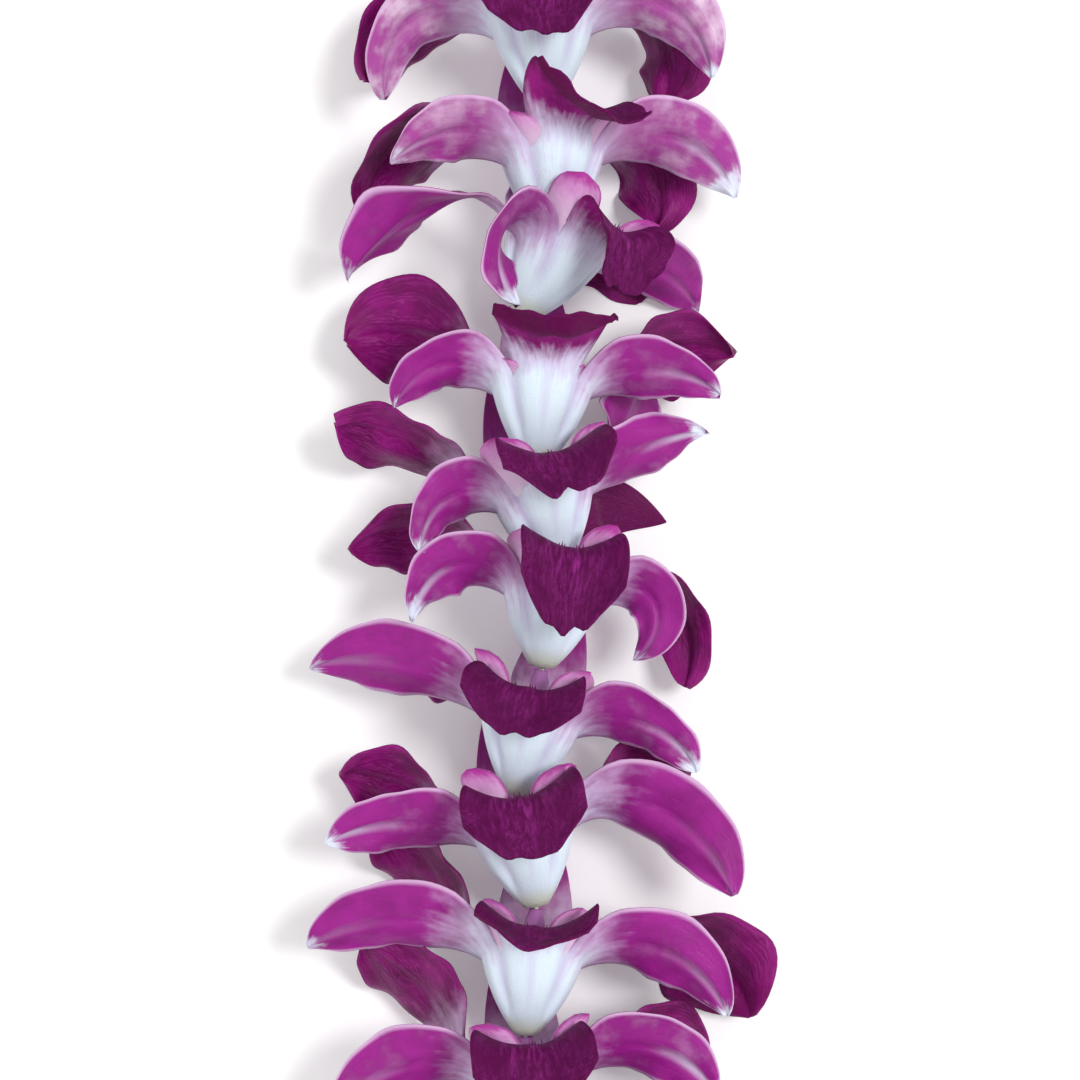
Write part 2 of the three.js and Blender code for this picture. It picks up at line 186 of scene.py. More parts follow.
@dataclass(frozen=True)
class Cup:
    """The cup that a blossom's tepals grow from, with its throat and the hole for the thread."""

    skin: float = 0.8
    hole_radius: float = 0.95
    nose_radius: float = 1.9
    swell: float = 9.5
    rise: float = 10.5
    floor_height: float = 5.2
    floor_radius: float = 4.2
    groove_depth: float = 1.0
    groove_width: float = 0.17

    def radius(self, y: Number) -> Number:
        """Returns the outer radius at a height above the nose tip."""
        return self.nose_radius + self.swell * (1 - np.exp(-y / self.rise))

    @staticmethod
    def around(azimuth: Array, y: Array, radius: Number) -> Array:
        """Returns points of a ring round +Y, where azimuth runs in degrees from the lip side."""
        angle = np.radians(azimuth)
        return np.stack([radius * np.sin(angle), y + 0 * angle, radius * np.cos(angle)], axis=-1)

    def seam(self, v: Array) -> Array:
        """Returns the depth of the groove at shares across a tepal's part of the cup."""
        return self.groove_depth * np.exp(-((np.minimum(v, 1 - v) / self.groove_width) ** 2))

    def walls(self, azimuth: Array, height: Array, v: Array, up: Array, rise: Array) -> tuple[Array, Array]:
        """Shapes a tepal's part of the cup, with a shallow groove where it meets its neighbours.

        Args:
            azimuth: of each column of points, in degrees.
            height: of the rim above each column.
            v: each column's share across the tepal.
            up: each row's share of the way from the nose tip to the rim.
            rise: the same from the throat's floor to the rim.

        Returns:
            The points of the outer skin and those of the throat's wall.
        """
        y = height * up
        skin = self.around(azimuth, y, self.radius(y) - self.seam(v) * smooth(0.1, 0.5, up))
        rim = self.radius(height) - self.seam(v) - self.skin
        radius = mix(self.floor_radius, rim, np.sin(rise * math.pi / 2))
        return skin, self.around(azimuth, mix(self.floor_height, height, rise), radius)


@dataclass(frozen=True)
class Tepal:
    """The plain form of one kind of tepal.

    azimuths run round +Y from the lip side: first edge, midrib, second edge, and heights are the rim's there. spread
    turns the midrib from +Y towards the side, depth lifts it towards the lip side, and tilt turns its blade from
    facing the lip side to edge-on. Each goes from its root value to its tip value as fast as ease says. keel is how
    far the edges fall back from the midrib, for each half width, and roll how far they roll in, in degrees. Up to
    split the blade parts from the cup.
    """

    finish: str
    azimuths: tuple[float, float, float]
    heights: tuple[float, float, float]
    length: float
    half: float
    spread: Span
    depth: Span
    tilt: Span
    keel: Span
    ease: Curve
    outline: Curve
    ruffle: float
    waves: float
    ragged: float = 0
    cleft_width: float = 0.07
    round_end: float = 0
    round_power: float = 3.4
    crease: float = 0.3
    crease_width: float = 0.11
    roll: Span = (0, 0)
    split: float = 0.27
    rib_steps: int = 24
    edge_skin: float = 0.28
    blade_skin: float = 0.5
    last_row: float = 0.992

    def axes(self, bend: Bend, t: Array) -> tuple[Array, Array, Array]:
        """Finds the directions at shares of the blade's length.

        Args:
            bend: how this tepal differs from the plain one.
            t: the shares past the rim.

        Returns:
            The directions along the midrib, across the blade and out of its outer face.
        """
        done = self.ease(t)
        late = smooth(0, 0.9, t)
        early = bend.early * smooth(0, 0.3, t) * (1 - 0.6 * late)
        spread = np.radians(mix(*self.spread, done) - bend.lift * late + early)
        depth = np.radians(mix(*self.depth, done) + bend.nod * late)
        tilt = np.radians(mix(*self.tilt, late) + bend.twist * late)[..., None]
        flat = np.cos(depth)
        along = np.stack([np.sin(spread) * flat, np.cos(spread) * flat, np.sin(depth)], axis=-1)
        up = np.stack([-np.cos(spread), np.sin(spread), 0 * spread], axis=-1)
        front = np.cross(along, up)
        across = up * np.cos(tilt) + front * np.sin(tilt)
        return along, across, np.cross(along, across)

    def midrib(self, cup: Cup, bend: Bend, t: Array) -> tuple[Array, Array]:
        """Adds up the midrib's curve.

        Args:
            cup: the cup that the tepal grows from.
            bend: how this tepal differs from the plain one.
            t: the shares past the rim.

        Returns:
            The midrib's points and its root.
        """
        height = np.array(self.heights[1])
        root = cup.around(np.array(self.azimuths[1]), height, cup.radius(height))
        steps = (np.arange(self.rib_steps) + 0.5) / self.rib_steps
        along, _, _ = self.axes(bend, t[..., None] * steps)
        return root + along.mean(axis=-2) * (self.length * bend.size * t)[..., None], root

    def trim(self, t: Array, v: Array, seed: float) -> Array:
        """Draws the blade in at its ragged, rounded end.

        Args:
            t: the shares past the rim.
            v: the shares across.
            seed: sets where the notches and the cleft fall.

        Returns:
            The shares past the rim, shortened.
        """
        # Uneven notches all along the end, one deeper cleft near its middle, and then the rounding.
        notch = 0.5 + 0.5 * np.sin(7 * v + 40 * seed) * np.sin(17 * v + 17 * seed)
        cleft = np.exp(-(((v - 0.4 - 0.2 * seed) / self.cleft_width) ** 2))
        t = t * (1 - self.ragged * smooth(0.6, 1, t) * (notch + 0.4 * cleft))
        return t * (1 - self.round_end * np.abs(1 - 2 * v) ** self.round_power * smooth(0.15, 1, t))

    def relief(self, t: Array, side: Array, seed: float) -> Array:
        """Finds how far ruffles, swells and the midrib's crease lift the blade's face.

        Args:
            t: the shares past the rim.
            side: 1 at the first edge, 0 at the midrib and -1 at the second edge.
            seed: sets where the ruffles fall.

        Returns:
            The heights, outwards.
        """
        turn, edge, grown = 2 * math.pi, np.abs(side), smooth(0.2, 0.5, t)
        # Wide waves run along both edges, out of step with each other, with fine ones on the very edge. Slow swells
        # cross the whole face, and the crease follows the midrib and fades out before the tip.
        wide = np.sin(turn * (self.waves * t + 1.7 * seed) + 1.3 * np.sign(side)) * edge**2.5 * smooth(0.15, 0.5, t)
        fine = 0.3 * np.sin(turn * (3.1 * self.waves * t + 2.9 * seed)) * edge**4 * smooth(0.3, 0.6, t)
        swell = 0.45 * np.sin(turn * (1.1 * t + 3.3 * seed)) * np.sin(math.pi * (1.6 * side + 5.1 * seed)) * grown
        crease = self.crease * np.exp(-((side / self.crease_width) ** 2)) * grown * (1 - smooth(0.85, 1, t))
        return self.ruffle * (wide + fine + swell) - crease

    def blade(self, cup: Cup, bend: Bend, t: Array, v: Array, seed: float) -> tuple[Array, Array]:
        """Shapes the blade's two faces.

        Args:
            cup: the cup that the tepal grows from.
            bend: how this tepal differs from the plain one.
            t: the shares past the rim.
            v: the shares across, from 0 at the first edge to 1.
            seed: sets where the ruffles fall.

        Returns:
            The points of the outer and the inner face.
        """
        side = 1 - 2 * v
        t = self.trim(t, v, seed)
        mid, root = self.midrib(cup, bend, t)
        _, across, outward = self.axes(bend, t)
        half = self.half * mix(1, bend.size * bend.breadth, smooth(0, 0.8, t)) * self.outline(t)
        keel = mix(*self.keel, t)
        curl = np.radians(mix(*self.roll, (seed * 7.3) % 1)) * smooth(0.15, 0.7, t) + NEARLY_FLAT
        reach = half * np.sin(curl * side) / curl
        bowl = half * (1 - np.cos(curl * side)) / curl
        lift = self.relief(t, side, seed) - keel * half * side * side - bowl
        leaf = mid + across * reach[..., None] + outward * lift[..., None]
        azimuth, height = between(self.azimuths, v), between(self.heights, v)
        shell = cup.around(azimuth, height, cup.radius(height) - cup.seam(v)) + mid - root
        free = smooth(0, self.split, t)[..., None]
        outer = mix(shell, leaf, free)
        # The inner face lies under the outer one by the skin, square to the cup at the root and to the blade beyond.
        face = unit(outward + across * (2 * keel * side)[..., None])
        inward = unit(mix(cup.around(azimuth, 0 * height, -1.0), -face, free))
        thin = mix(self.blade_skin, self.edge_skin, np.abs(side) ** 3)
        skin = mix(cup.skin, thin, smooth(0, 0.35, t))
        return outer, outer + inward * skin[..., None]


LIP = Tepal(
    finish="lip", azimuths=(-42, 0, 42), heights=(13.5, 14, 13.5), length=18, half=10, spread=(0, 0),
    depth=(8, 158), tilt=(0, 0), keel=(0.4, 0.45), ease=lambda t: smooth(0, 0.6, t),
    outline=lambda t: mix(0.62, 1, smooth(0.05, 0.5, t)) * mix(1, 0.8, smooth(0.6, 1, t)), ruffle=1.0,
    waves=1.9, ragged=0.08, round_end=0.34, crease=0.5,
)
SIDE_SEPAL = Tepal(
    finish="sepal", azimuths=(42, 68, 98), heights=(13.5, 13, 10), length=27, half=7.1, spread=(34, 150),
    depth=(14, -10), tilt=(44, 22), keel=(0.2, 0.2), ease=lambda t: t**0.65,
    outline=lambda t: mix(0.88, 1, smooth(0.1, 0.5, t)) * (1 - t**2.9) ** 0.8, ruffle=0.8, waves=1.5,
    crease=0.6, roll=(-14, 22),
)
PETAL = Tepal(
    finish="petal", azimuths=(98, 120, 140), heights=(10, 12, 11.5), length=25, half=10, spread=(26, 132),
    depth=(-32, 14), tilt=(88, 38), keel=(0.1, 0.12), ease=lambda t: t**0.6,
    outline=lambda t: mix(0.45, 1, smooth(0.1, 0.55, t)) * (1 - t**3.2) ** 0.75, ruffle=1.5, waves=1.3,
    crease=0.6, roll=(-40, 30),
)
BACK_SEPAL = Tepal(
    finish="back_sepal", azimuths=(140, 180, 220), heights=(11.5, 13, 11.5), length=25, half=6.5, spread=(0, 0),
    depth=(-34, -8), tilt=(180, 180), keel=(0.15, 0.15), ease=lambda t: t,
    outline=lambda t: (1 - t**2.1) ** 0.9, ruffle=0.3, waves=1.1,
)

NEAR_STRAND = [
    Pose(
        nose=-98.8, aside=-1, turn=4, left_sepal=Bend(lift=8, size=1.05), right_sepal=Bend(lift=-6),
        left_petal=Bend(lift=62, early=-40, size=1.22, breadth=1.05),
    ),
    Pose(
        nose=-80, aside=-2.3, tint=-0.1, left_sepal=Bend(lift=20, size=1.15),
        right_sepal=Bend(lift=-4, size=1.1), left_petal=Bend(lift=56, early=-30, size=1.2),
        right_petal=Bend(lift=-20, nod=-12, size=1.5, breadth=1.15), lip=Bend(nod=-60, size=0.85, breadth=1.15),
    ),
    Pose(
        nose=-59.3, aside=-0.6, turn=3, tint=-0.1, left_sepal=Bend(lift=38, size=0.94),
        right_sepal=Bend(lift=-10, nod=14, early=26, size=1.28), left_petal=Bend(lift=38, early=-30, size=1.05),
        right_petal=Bend(lift=26, size=0.95, breadth=0.85),
    ),
    Pose(
        nose=-41.3, aside=-3.7, turn=-8, left_sepal=Bend(lift=28, size=1.15),
        right_sepal=Bend(lift=8, size=0.86), left_petal=Bend(lift=26, size=0.7), right_petal=Bend(size=0.75),
        lip=Bend(size=0.78, breadth=1.25),
    ),
    Pose(
        nose=-20.6, aside=0.3, turn=8, left_sepal=Bend(lift=-28, size=0.8),
        right_sepal=Bend(lift=-75, size=0.76, breadth=0.9), left_petal=Bend(lift=-4, early=-20, size=1.2),
        right_petal=Bend(lift=-56, size=1.25, breadth=0.6), lip=Bend(nod=6, size=1.35, breadth=0.62),
        # This back sepal wears the petal's finish, which paints it in shade.
        back_sepal=Bend(lift=-100, size=1.3, wears="petal"),
    ),
    Pose(
        nose=-5, aside=2.4, turn=12, left_sepal=Bend(lift=-18, twist=-10, size=0.7),
        right_sepal=Bend(lift=50, size=0.8),
        left_petal=Bend(lift=38, early=-34, twist=10, size=1.22, breadth=0.94),
        right_petal=Bend(lift=90, size=0.95, wears="sepal"), lip=Bend(nod=-25, breadth=0.92),
    ),
    Pose(
        nose=12.3, aside=-0.6, turn=6, roll=-9, ears=0.5, left_sepal=Bend(lift=-8, size=0.74),
        right_sepal=Bend(lift=26, size=0.84),
        left_petal=Bend(lift=10, early=-20, twist=-20, size=1.12, breadth=1.15),
        right_petal=Bend(lift=18, early=-20, size=1.15), lip=Bend(nod=-105),
    ),
    Pose(
        nose=36.3, aside=-2.9, turn=42, roll=-5, left_sepal=Bend(lift=-70, nod=38, early=40, size=0.86),
        right_sepal=Bend(lift=30, size=0.95),
        left_petal=Bend(lift=-36, nod=-36, twist=-26, early=50, size=1.35, breadth=0.7, wears="sepal"),
        right_petal=Bend(size=0.9), back_sepal=Bend(size=0.65), lip=Bend(breadth=0.75),
    ),
    Pose(
        nose=49.6, aside=1.9, turn=16, roll=-3, tint=0.35, ears=0.7, left_sepal=Bend(lift=12, size=0.82),
        right_sepal=Bend(lift=-4, size=1.02), left_petal=Bend(lift=-30, nod=-16, size=1.2, breadth=1.15),
        right_petal=Bend(lift=-62, size=0.98), lip=Bend(lift=-36, nod=-72),
    ),
    Pose(
        nose=70.5, aside=0.8, tint=0.7, left_sepal=Bend(lift=-32, size=1.05, breadth=0.8),
        right_sepal=Bend(lift=-24, size=1.02), left_petal=Bend(lift=-24, size=1.12),
        right_petal=Bend(lift=-74, size=1.08),
    ),
    Pose(nose=89.9, right_petal=Bend(size=0.85)),
]


@dataclass(frozen=True)
class Ear:
    """A rounded ear beside the lip.

    azimuth is where it stands round the cup, in degrees. lean, turn and growth are the least and the most of what one
    blossom may have, the first two in degrees, and skin is the thickness at the root and at the end.
    """

    length: float = 14.2
    half: float = 4.7
    azimuth: float = 43
    root_height: float = 10.8
    root_radius: float = 6.4
    bend_radius: float = 9.0
    lean: Span = (20, 34)
    turn: Span = (-6, 8)
    growth: Span = (0.84, 1.05)
    skin: Span = (0.55, 0.3)
    curl: float = 1.5
    ripple: float = 0.45

    def faces(self, cup: Cup, size: float, shares: list[float], t: Array, v: Array) -> tuple[Array, Array]:
        """Shapes the ear.

        Args:
            cup: the cup that it stands in.
            size: scales its length.
            shares: this ear's own growth, lean and turn, from 0 to 1.
            t: the shares along.
            v: the shares across.

        Returns:
            The points of the outer and the inner face.
        """
        side = 1 - 2 * v
        lean = math.radians(mix(*self.lean, shares[1]))
        length = self.length * size * mix(*self.growth, shares[0])
        outline = np.sqrt(1 - np.clip((t - 0.5) / 0.5, 0, 0.997) ** 2.4) * mix(0.6, 1, smooth(0, 0.5, t))
        centre = self.azimuth + mix(*self.turn, shares[2])
        angle = centre + np.degrees(side * self.half * outline / self.bend_radius)
        y = self.root_height + math.cos(lean) * length * t
        curl = self.curl * side**2 * t + self.ripple * np.sin(6 * t + 6 * shares[0] + 5 * v) * t
        radius = self.root_radius + math.sin(lean) * length * t - curl
        return cup.around(angle, y, radius), cup.around(angle, y, radius - mix(*self.skin, t))


@dataclass(frozen=True)
class Column:
    """The column round the thread, with faint lobes, narrowing to its open end."""

    height: float = 21
    gap: float = 0.45
    stem: Span = (2.6, 1.6)
    narrowing: float = 0.7
    lobes: int = 3
    lobe_depth: float = 0.09
    mouth: float = 0.62

    def wall(self, cup: Cup, number: int, room: float, t: Array, v: Array) -> tuple[Array, Array]:
        """Shapes the column.

        Args:
            cup: the cup that it stands in.
            number: the blossom's, which turns the lobes.
            room: how far off the next nose is.
            t: the shares along.
            v: the shares round it.

        Returns:
            The points of its wall and those round its mouth.
        """
        wave = np.sin(self.lobes * 2 * math.pi * v + 5 * number) * np.sin(math.pi * t)
        stem = mix(*self.stem, smooth(0, 0.7, t)) * mix(1, self.narrowing, smooth(0.85, 1, t))
        y = mix(cup.floor_height, min(self.height, room - self.gap), t)
        wall = cup.around(360 * v, y, stem * (1 + self.lobe_depth * wave))
        return wall, cup.around(360 * v[-1:], y[-1:], self.mouth)


@dataclass(frozen=True)
class Crest:
    """The short dark bristles along the crest of the lip. Spans are shares of the lip, and millimetres for length."""

    hairs: int = 15
    across: Span = (0.36, 0.64)
    stray: float = 0.04
    along: Span = (0.2, 0.32)
    length: Span = (0.3, 1.1)
    radius: float = 0.15
    corners: int = 6

    def hair(self, cup: Cup, bend: Bend, number: int, i: int) -> Array:
        """Shapes one bristle.

        Args:
            cup: the cup that the lip grows from.
            bend: how the lip differs from the plain one.
            number: the blossom's.
            i: the bristle's.

        Returns:
            Three rows of points, from just inside the lip to the bristle's tip.
        """
        share = (i + 0.5) / self.hairs
        wild = even_share(number + 7 * i, HAIR_SALTS[0])
        v = np.array(mix(*self.across, share) + self.stray * (wild - 0.5))
        t = np.array(mix(*self.along, even_share(number + 5 * i, HAIR_SALTS[1])))
        outer, root = LIP.blade(cup, bend, t, v, even_share(number, TEPAL_SALT))
        away = unit(root - outer)
        lean = np.array([0.5 * (share - 0.5), 0.35 * (wild - 0.3), 0.15])
        tip = root + unit(away + lean) * mix(*self.length, wild * wild)
        side = unit(np.cross(away, np.array([0.3, 0.1, 1.0])))
        angle = np.linspace(0, 2 * math.pi, self.corners)[:, None]
        ring = np.cos(angle) * side + np.sin(angle) * np.cross(away, side)
        return np.stack([mix(root, tip, s) + ring * self.radius * (1 - 0.9 * s) for s in (-0.1, 0.5, 1.0)])


@dataclass(frozen=True)
class Ring:
    """The ring that the lei lies in: two straight strands joined by two round ends."""

    blossoms: int = 50
    pitch: float = 18.6
    end_radius: float = 90
    thread_height: float = 18

    @property
    def length(self) -> float:
        """Returns the length once round."""
        return self.blossoms * self.pitch

    @property
    def straight(self) -> float:
        """Returns the length of each straight strand."""
        return self.length / 2 - math.pi * self.end_radius

    def point(self, distance: float) -> tuple[Array, Array]:
        """Finds a point of the ring.

        Args:
            distance: how far along it, from the middle of the near strand.

        Returns:
            The point and the ring's outward direction there.
        """
        lap, s = divmod(distance + self.straight / 2, self.length / 2)
        turned = -1 if lap % 2 else 1
        angle = max(0.0, s - self.straight) / self.end_radius
        outward = turned * np.array([-math.cos(angle), math.sin(angle), 0.0])
        centre = turned * (min(s, self.straight) - self.straight / 2)
        return outward * self.end_radius + np.array([0, centre, self.thread_height]), outward

    def nose(self, pose: Pose) -> Array:
        """Returns where a blossom's nose tip lies. A positive aside is towards the ring's middle."""
        at, outward = self.point(pose.nose)
        return at - outward * pose.aside

    @staticmethod
    def ordinary(k: int, nose: float) -> Pose:
        """Poses a blossom outside the near strand.

        Args:
            k: the blossom's number along the thread.
            nose: how far along the ring it is.

        Returns:
            Its pose. Its right side is the ring's inner one, where there is less room.
        """

        def pick(salt: int, low: float, high: float) -> float:
            """Returns this blossom's value between low and high."""
            return float(mix(low, high, even_share(k, salt)))

        return Pose(
            nose=nose,
            aside=pick(1, -1.5, 1.5),
            turn=pick(2, -12, 12),
            roll=pick(3, -4, 4),
            tint=pick(19, -0.4, 0.7),
            left_sepal=Bend(pick(4, -10, 10), 0, pick(5, -6, 6), pick(6, 0.94, 1.14)),
            right_sepal=Bend(pick(7, -2, 10), 0, pick(8, -4, 4), pick(9, 0.88, 1.04)),
            left_petal=Bend(pick(10, -4, 4), 0, pick(11, -4, 4), pick(12, 0.92, 1.08)),
            right_petal=Bend(pick(13, -4, 2), 0, pick(14, -3, 3), pick(15, 0.86, 0.96)),
            back_sepal=Bend(lift=pick(16, -5, 5), size=pick(17, 0.92, 1.08)),
            lip=Bend(nod=pick(18, -60, 0)),
        )

    def poses(self) -> list[Pose]:
        """Returns the poses of all blossoms, in order along the thread."""
        first, last = NEAR_STRAND[0].nose, NEAR_STRAND[-1].nose
        near = len(NEAR_STRAND)
        rest = self.blossoms - near
        step = (self.length - (last - first)) / (rest + 1)
        return NEAR_STRAND + [self.ordinary(near + i, last + step * (i + 1)) for i in range(rest)]


@dataclass
class Fabric:
    """Gathers grids of corners into one mesh, with their shares across and along, their face and their finish."""

    corners: list[Array] = field(default_factory=list)
    faces: list[Array] = field(default_factory=list)
    maps: list[Array] = field(default_factory=list)
    inners: list[Array] = field(default_factory=list)
    wilds: list[Array] = field(default_factory=list)
    finishes: list[Array] = field(default_factory=list)
    count: int = 0
    join_below: float = 0.002

    def grid(
        self, points: Array, across: Array, along: Array, inner: Number, finish: int, wild: float = 0.5
    ) -> Array:
        """Adds a grid of corners and the quads between them.

        Args:
            points: the corners, in rows and columns.
            across: each corner's share across, or each column's.
            along: each corner's share along, or each row's in a column.
            inner: 1 at the corners of the inner face and 0 at the others.
            finish: the number of the finish of its faces.
            wild: this grid's own share from 0 to 1, by which its colours vary.

        Returns:
            The corners' numbers, in rows and columns.
        """
        shape = points.shape[:2]
        numbers = self.count + np.arange(math.prod(shape)).reshape(shape)
        self.count += numbers.size
        across, along, inner, wild = (np.broadcast_to(part, shape).ravel() for part in (across, along, inner, wild))
        self.corners.append(points.reshape(-1, 3))
        self.maps.append(np.stack([across, along], axis=-1))
        self.inners.append(inner)
        self.wilds.append(wild)
        self.quads(numbers[:-1], numbers[1:], finish)
        return numbers

    def quads(self, low: Array, high: Array, finish: int) -> None:
        """Adds the quads between two rows of corners, or two stacks of rows."""
        low, high = np.atleast_2d(low), np.atleast_2d(high)
        faces = np.stack([low[:, :-1], low[:, 1:], high[:, 1:], high[:, :-1]], axis=-1).reshape(-1, 4)
        self.faces.append(faces)
        self.finishes.append(np.full(len(faces), finish))

    def piece(self, name: str, finishes: list[Material], tint: float) -> Object:
        """Makes the object, with corners that lie on each other joined.

        Args:
            name: of the piece.
            finishes: its materials, in the order of their numbers.
            tint: stored at every corner, for the petals' shade.

        Returns:
            The object, in metres.
        """
        corners = np.concatenate(self.corners) * MM
        faces = np.concatenate(self.faces)
        mesh = bpy.data.meshes.new(name)
        mesh.vertices.add(len(corners))
        mesh.vertices.foreach_set("co", corners.ravel())
        mesh.loops.add(faces.size)
        mesh.loops.foreach_set("vertex_index", faces.ravel())
        mesh.polygons.add(len(faces))
        mesh.polygons.foreach_set("loop_start", np.arange(0, faces.size, 4))
        mesh.polygons.foreach_set("material_index", np.concatenate(self.finishes))
        mesh.polygons.foreach_set("use_smooth", np.ones(len(faces), bool))
        mesh.update(calc_edges=True)
        layer = mesh.uv_layers.new(name="blade")
        layer.data.foreach_set("uv", np.concatenate(self.maps)[faces.ravel()].ravel())
        values = {
            "inner": np.concatenate(self.inners),
            "wild": np.concatenate(self.wilds),
            "tint": np.full(len(corners), tint),
        }
        for key, value in values.items():
            mesh.attributes.new(key, "FLOAT", "POINT").data.foreach_set("value", value.astype(np.float32))
        shape = bmesh.new()
        shape.from_mesh(mesh)
        bmesh.ops.remove_doubles(shape, verts=shape.verts, dist=self.join_below * MM)
        bmesh.ops.recalc_face_normals(shape, faces=shape.faces)
        shape.to_mesh(mesh)
        shape.free()
        for finish in finishes:
            mesh.materials.append(finish)
        made = bpy.data.objects.new(name, mesh)
        bpy.context.scene.collection.objects.link(made)
        return made


@dataclass(frozen=True)
class Fineness:
    """How many rows and columns a blossom's meshes have."""

    columns: int
    blade_rows: int
    cup_rows: int
    throat_rows: int


CLOSE_UP = Fineness(columns=20, blade_rows=32, cup_rows=14, throat_rows=6)
ORDINARY = Fineness(columns=12, blade_rows=20, cup_rows=9, throat_rows=4)


@dataclass
class Blossom:
    """One blossom: cup, throat, six tepals, the ears of its lip, the column and the crest."""

    name: str
    number: int
    pose: Pose
    nose: Array
    following: Array
    fineness: Fineness
    cup: Cup = Cup()
    ear: Ear = Ear()
    column: Column = Column()
    crest: Crest = Crest()
    row_spread: float = 0.9
    throat_start: float = 0.4

    FINISHES = ("sepal", "petal", "back_sepal", "lip", "ear", "column", "crest")

    def place(self, points: Array) -> Array:
        """Moves points from the blossom's own frame into the lei.

        Args:
            points: in the blossom's frame.

        Returns:
            The points on the thread, between this nose and the next.
        """
        turn, roll = math.radians(self.pose.turn), math.radians(self.pose.roll)
        x, y, z = points[..., 0], points[..., 1], points[..., 2]
        x, z = x * math.cos(turn) + z * math.sin(turn), -x * math.sin(turn) + z * math.cos(turn)
        bored = np.hypot(x, z) <= self.cup.hole_radius + 0.01
        lean_x = np.where(bored, x, x * math.cos(roll) - y * math.sin(roll))
        lean_y = np.where(bored, y, x * math.sin(roll) + y * math.cos(roll))
        y_axis = unit(self.following - self.nose)
        z_axis = np.array([0.0, 0.0, 1.0])
        x_axis = np.cross(y_axis, z_axis)
        return self.nose + lean_x[..., None] * x_axis + lean_y[..., None] * y_axis + z[..., None] * z_axis

    def tepals(self) -> list[tuple[Tepal, Bend, Side, float]]:
        """Returns the six tepals in order round the rim, each with its bend, its side and its seed."""
        pose = self.pose
        listed = [
            (LIP, pose.lip, Side.RIGHT),
            (SIDE_SEPAL, pose.right_sepal, Side.RIGHT),
            (PETAL, pose.right_petal, Side.RIGHT),
            (BACK_SEPAL, pose.back_sepal, Side.RIGHT),
            (PETAL, pose.left_petal, Side.LEFT),
            (SIDE_SEPAL, pose.left_sepal, Side.LEFT),
        ]
        return [(*tepal, even_share(self.number, TEPAL_SALT + i)) for i, tepal in enumerate(listed)]

    def add_tepal(self, cloth: Fabric, tepal: Tepal, bend: Bend, side: Side, seed: float) -> None:
        """Adds one tepal with its share of the cup: down the outside, through the hole and up the throat.

        Args:
            cloth: the mesh under way.
            tepal: its kind.
            bend: how it differs from the plain one.
            side: the side it grows on.
            seed: sets where its ruffles fall.
        """
        fine = self.fineness
        v_row = np.linspace(0, 1, fine.columns + 1)
        t_rows = tepal.last_row * np.linspace(0, 1, fine.blade_rows + 1) ** self.row_spread
        t, v = np.meshgrid(t_rows, v_row, indexing="ij")
        outer, inner = (self.lay(face, side) for face in tepal.blade(self.cup, bend, t, v, seed))
        sunk = np.minimum(0, np.minimum(outer[..., 2], inner[..., 2]))
        outer[..., 2] -= sunk
        inner[..., 2] -= sunk
        azimuth, height = between(tepal.azimuths, v_row), between(tepal.heights, v_row)
        up, rise = (np.linspace(0, 1, rows + 1)[:-1, None] for rows in (fine.cup_rows, fine.throat_rows))
        outside, throat = self.cup.walls(azimuth, height, v_row, up, rise)
        hole = self.cup.around(azimuth, 0 * azimuth, self.cup.hole_radius)
        bore = np.stack([hole, hole + np.array([0, self.cup.floor_height, 0])])
        cup_part = [self.lay(part, side) for part in (outside[::-1], bore, throat)]
        points = np.concatenate([outer[::-1], *cup_part, inner])
        blade_along = mix(RIM_SHARE, 1, t_rows)
        throat_along = RIM_SHARE * mix(self.throat_start, 1, rise[:, 0])
        along = np.concatenate([blade_along[::-1], RIM_SHARE * up[::-1, 0], [0, 0], throat_along, blade_along])
        inside = np.concatenate([np.zeros(len(t_rows) + len(up) + 1), np.ones(1 + len(rise) + len(t_rows))])
        finish = self.FINISHES.index(bend.wears or tepal.finish)
        numbers = cloth.grid(points, v_row, along[:, None], inside[:, None], finish, seed)
        rows = len(t_rows)
        for edge in (0, -1):
            cloth.quads(numbers[:rows, edge], numbers[: -rows - 1 : -1, edge], finish)
        cloth.quads(numbers[0], numbers[-1], finish)

    def lay(self, points: Array, side: Side) -> Array:
        """Returns the points on their side of the blossom, and in the lei."""
        return self.place(points * np.array([side.value, 1, 1]))

    def add_ear(self, cloth: Fabric, side: Side) -> None:
        """Adds one of the two rounded ears that stand beside the lip.

        Args:
            cloth: the mesh under way.
            side: the side it stands on.
        """
        t, v = sheet(self.fineness.blade_rows // 2, self.fineness.columns // 2)
        shares = [even_share(self.number, salt + side.value) for salt in EAR_SALTS]
        faces = self.ear.faces(self.cup, self.pose.ears, shares, t, v)
        finish = self.FINISHES.index("ear")
        first, second = (cloth.grid(self.lay(face, side), v, t, i, finish, shares[0]) for i, face in enumerate(faces))
        for edge in (0, -1):
            cloth.quads(first[:, edge], second[:, edge], finish)
            cloth.quads(first[edge], second[edge], finish)

    def add_column(self, cloth: Fabric) -> None:
        """Adds the column round the thread, up to just under the next nose."""
        room = float(np.linalg.norm(self.following - self.nose))
        t, v = sheet(self.fineness.blade_rows, 2 * self.fineness.columns)
        wall, mouth = self.column.wall(self.cup, self.number, room, t, v)
        finish = self.FINISHES.index("column")
        numbers = cloth.grid(self.place(wall), v, t, 0, finish)
        lid = cloth.grid(self.place(mouth), v[-1:], t[-1:], 0, finish)
        cloth.quads(numbers[-1], lid[0], finish)

    def add_crest(self, cloth: Fabric) -> None:
        """Adds the bristles of the lip."""
        shares = np.array([[0.0], [0.5], [1.0]])
        for i in range(self.crest.hairs):
            rows = self.place(self.crest.hair(self.cup, self.pose.lip, self.number, i))
            cloth.grid(rows, shares, shares, 0, self.FINISHES.index("crest"))

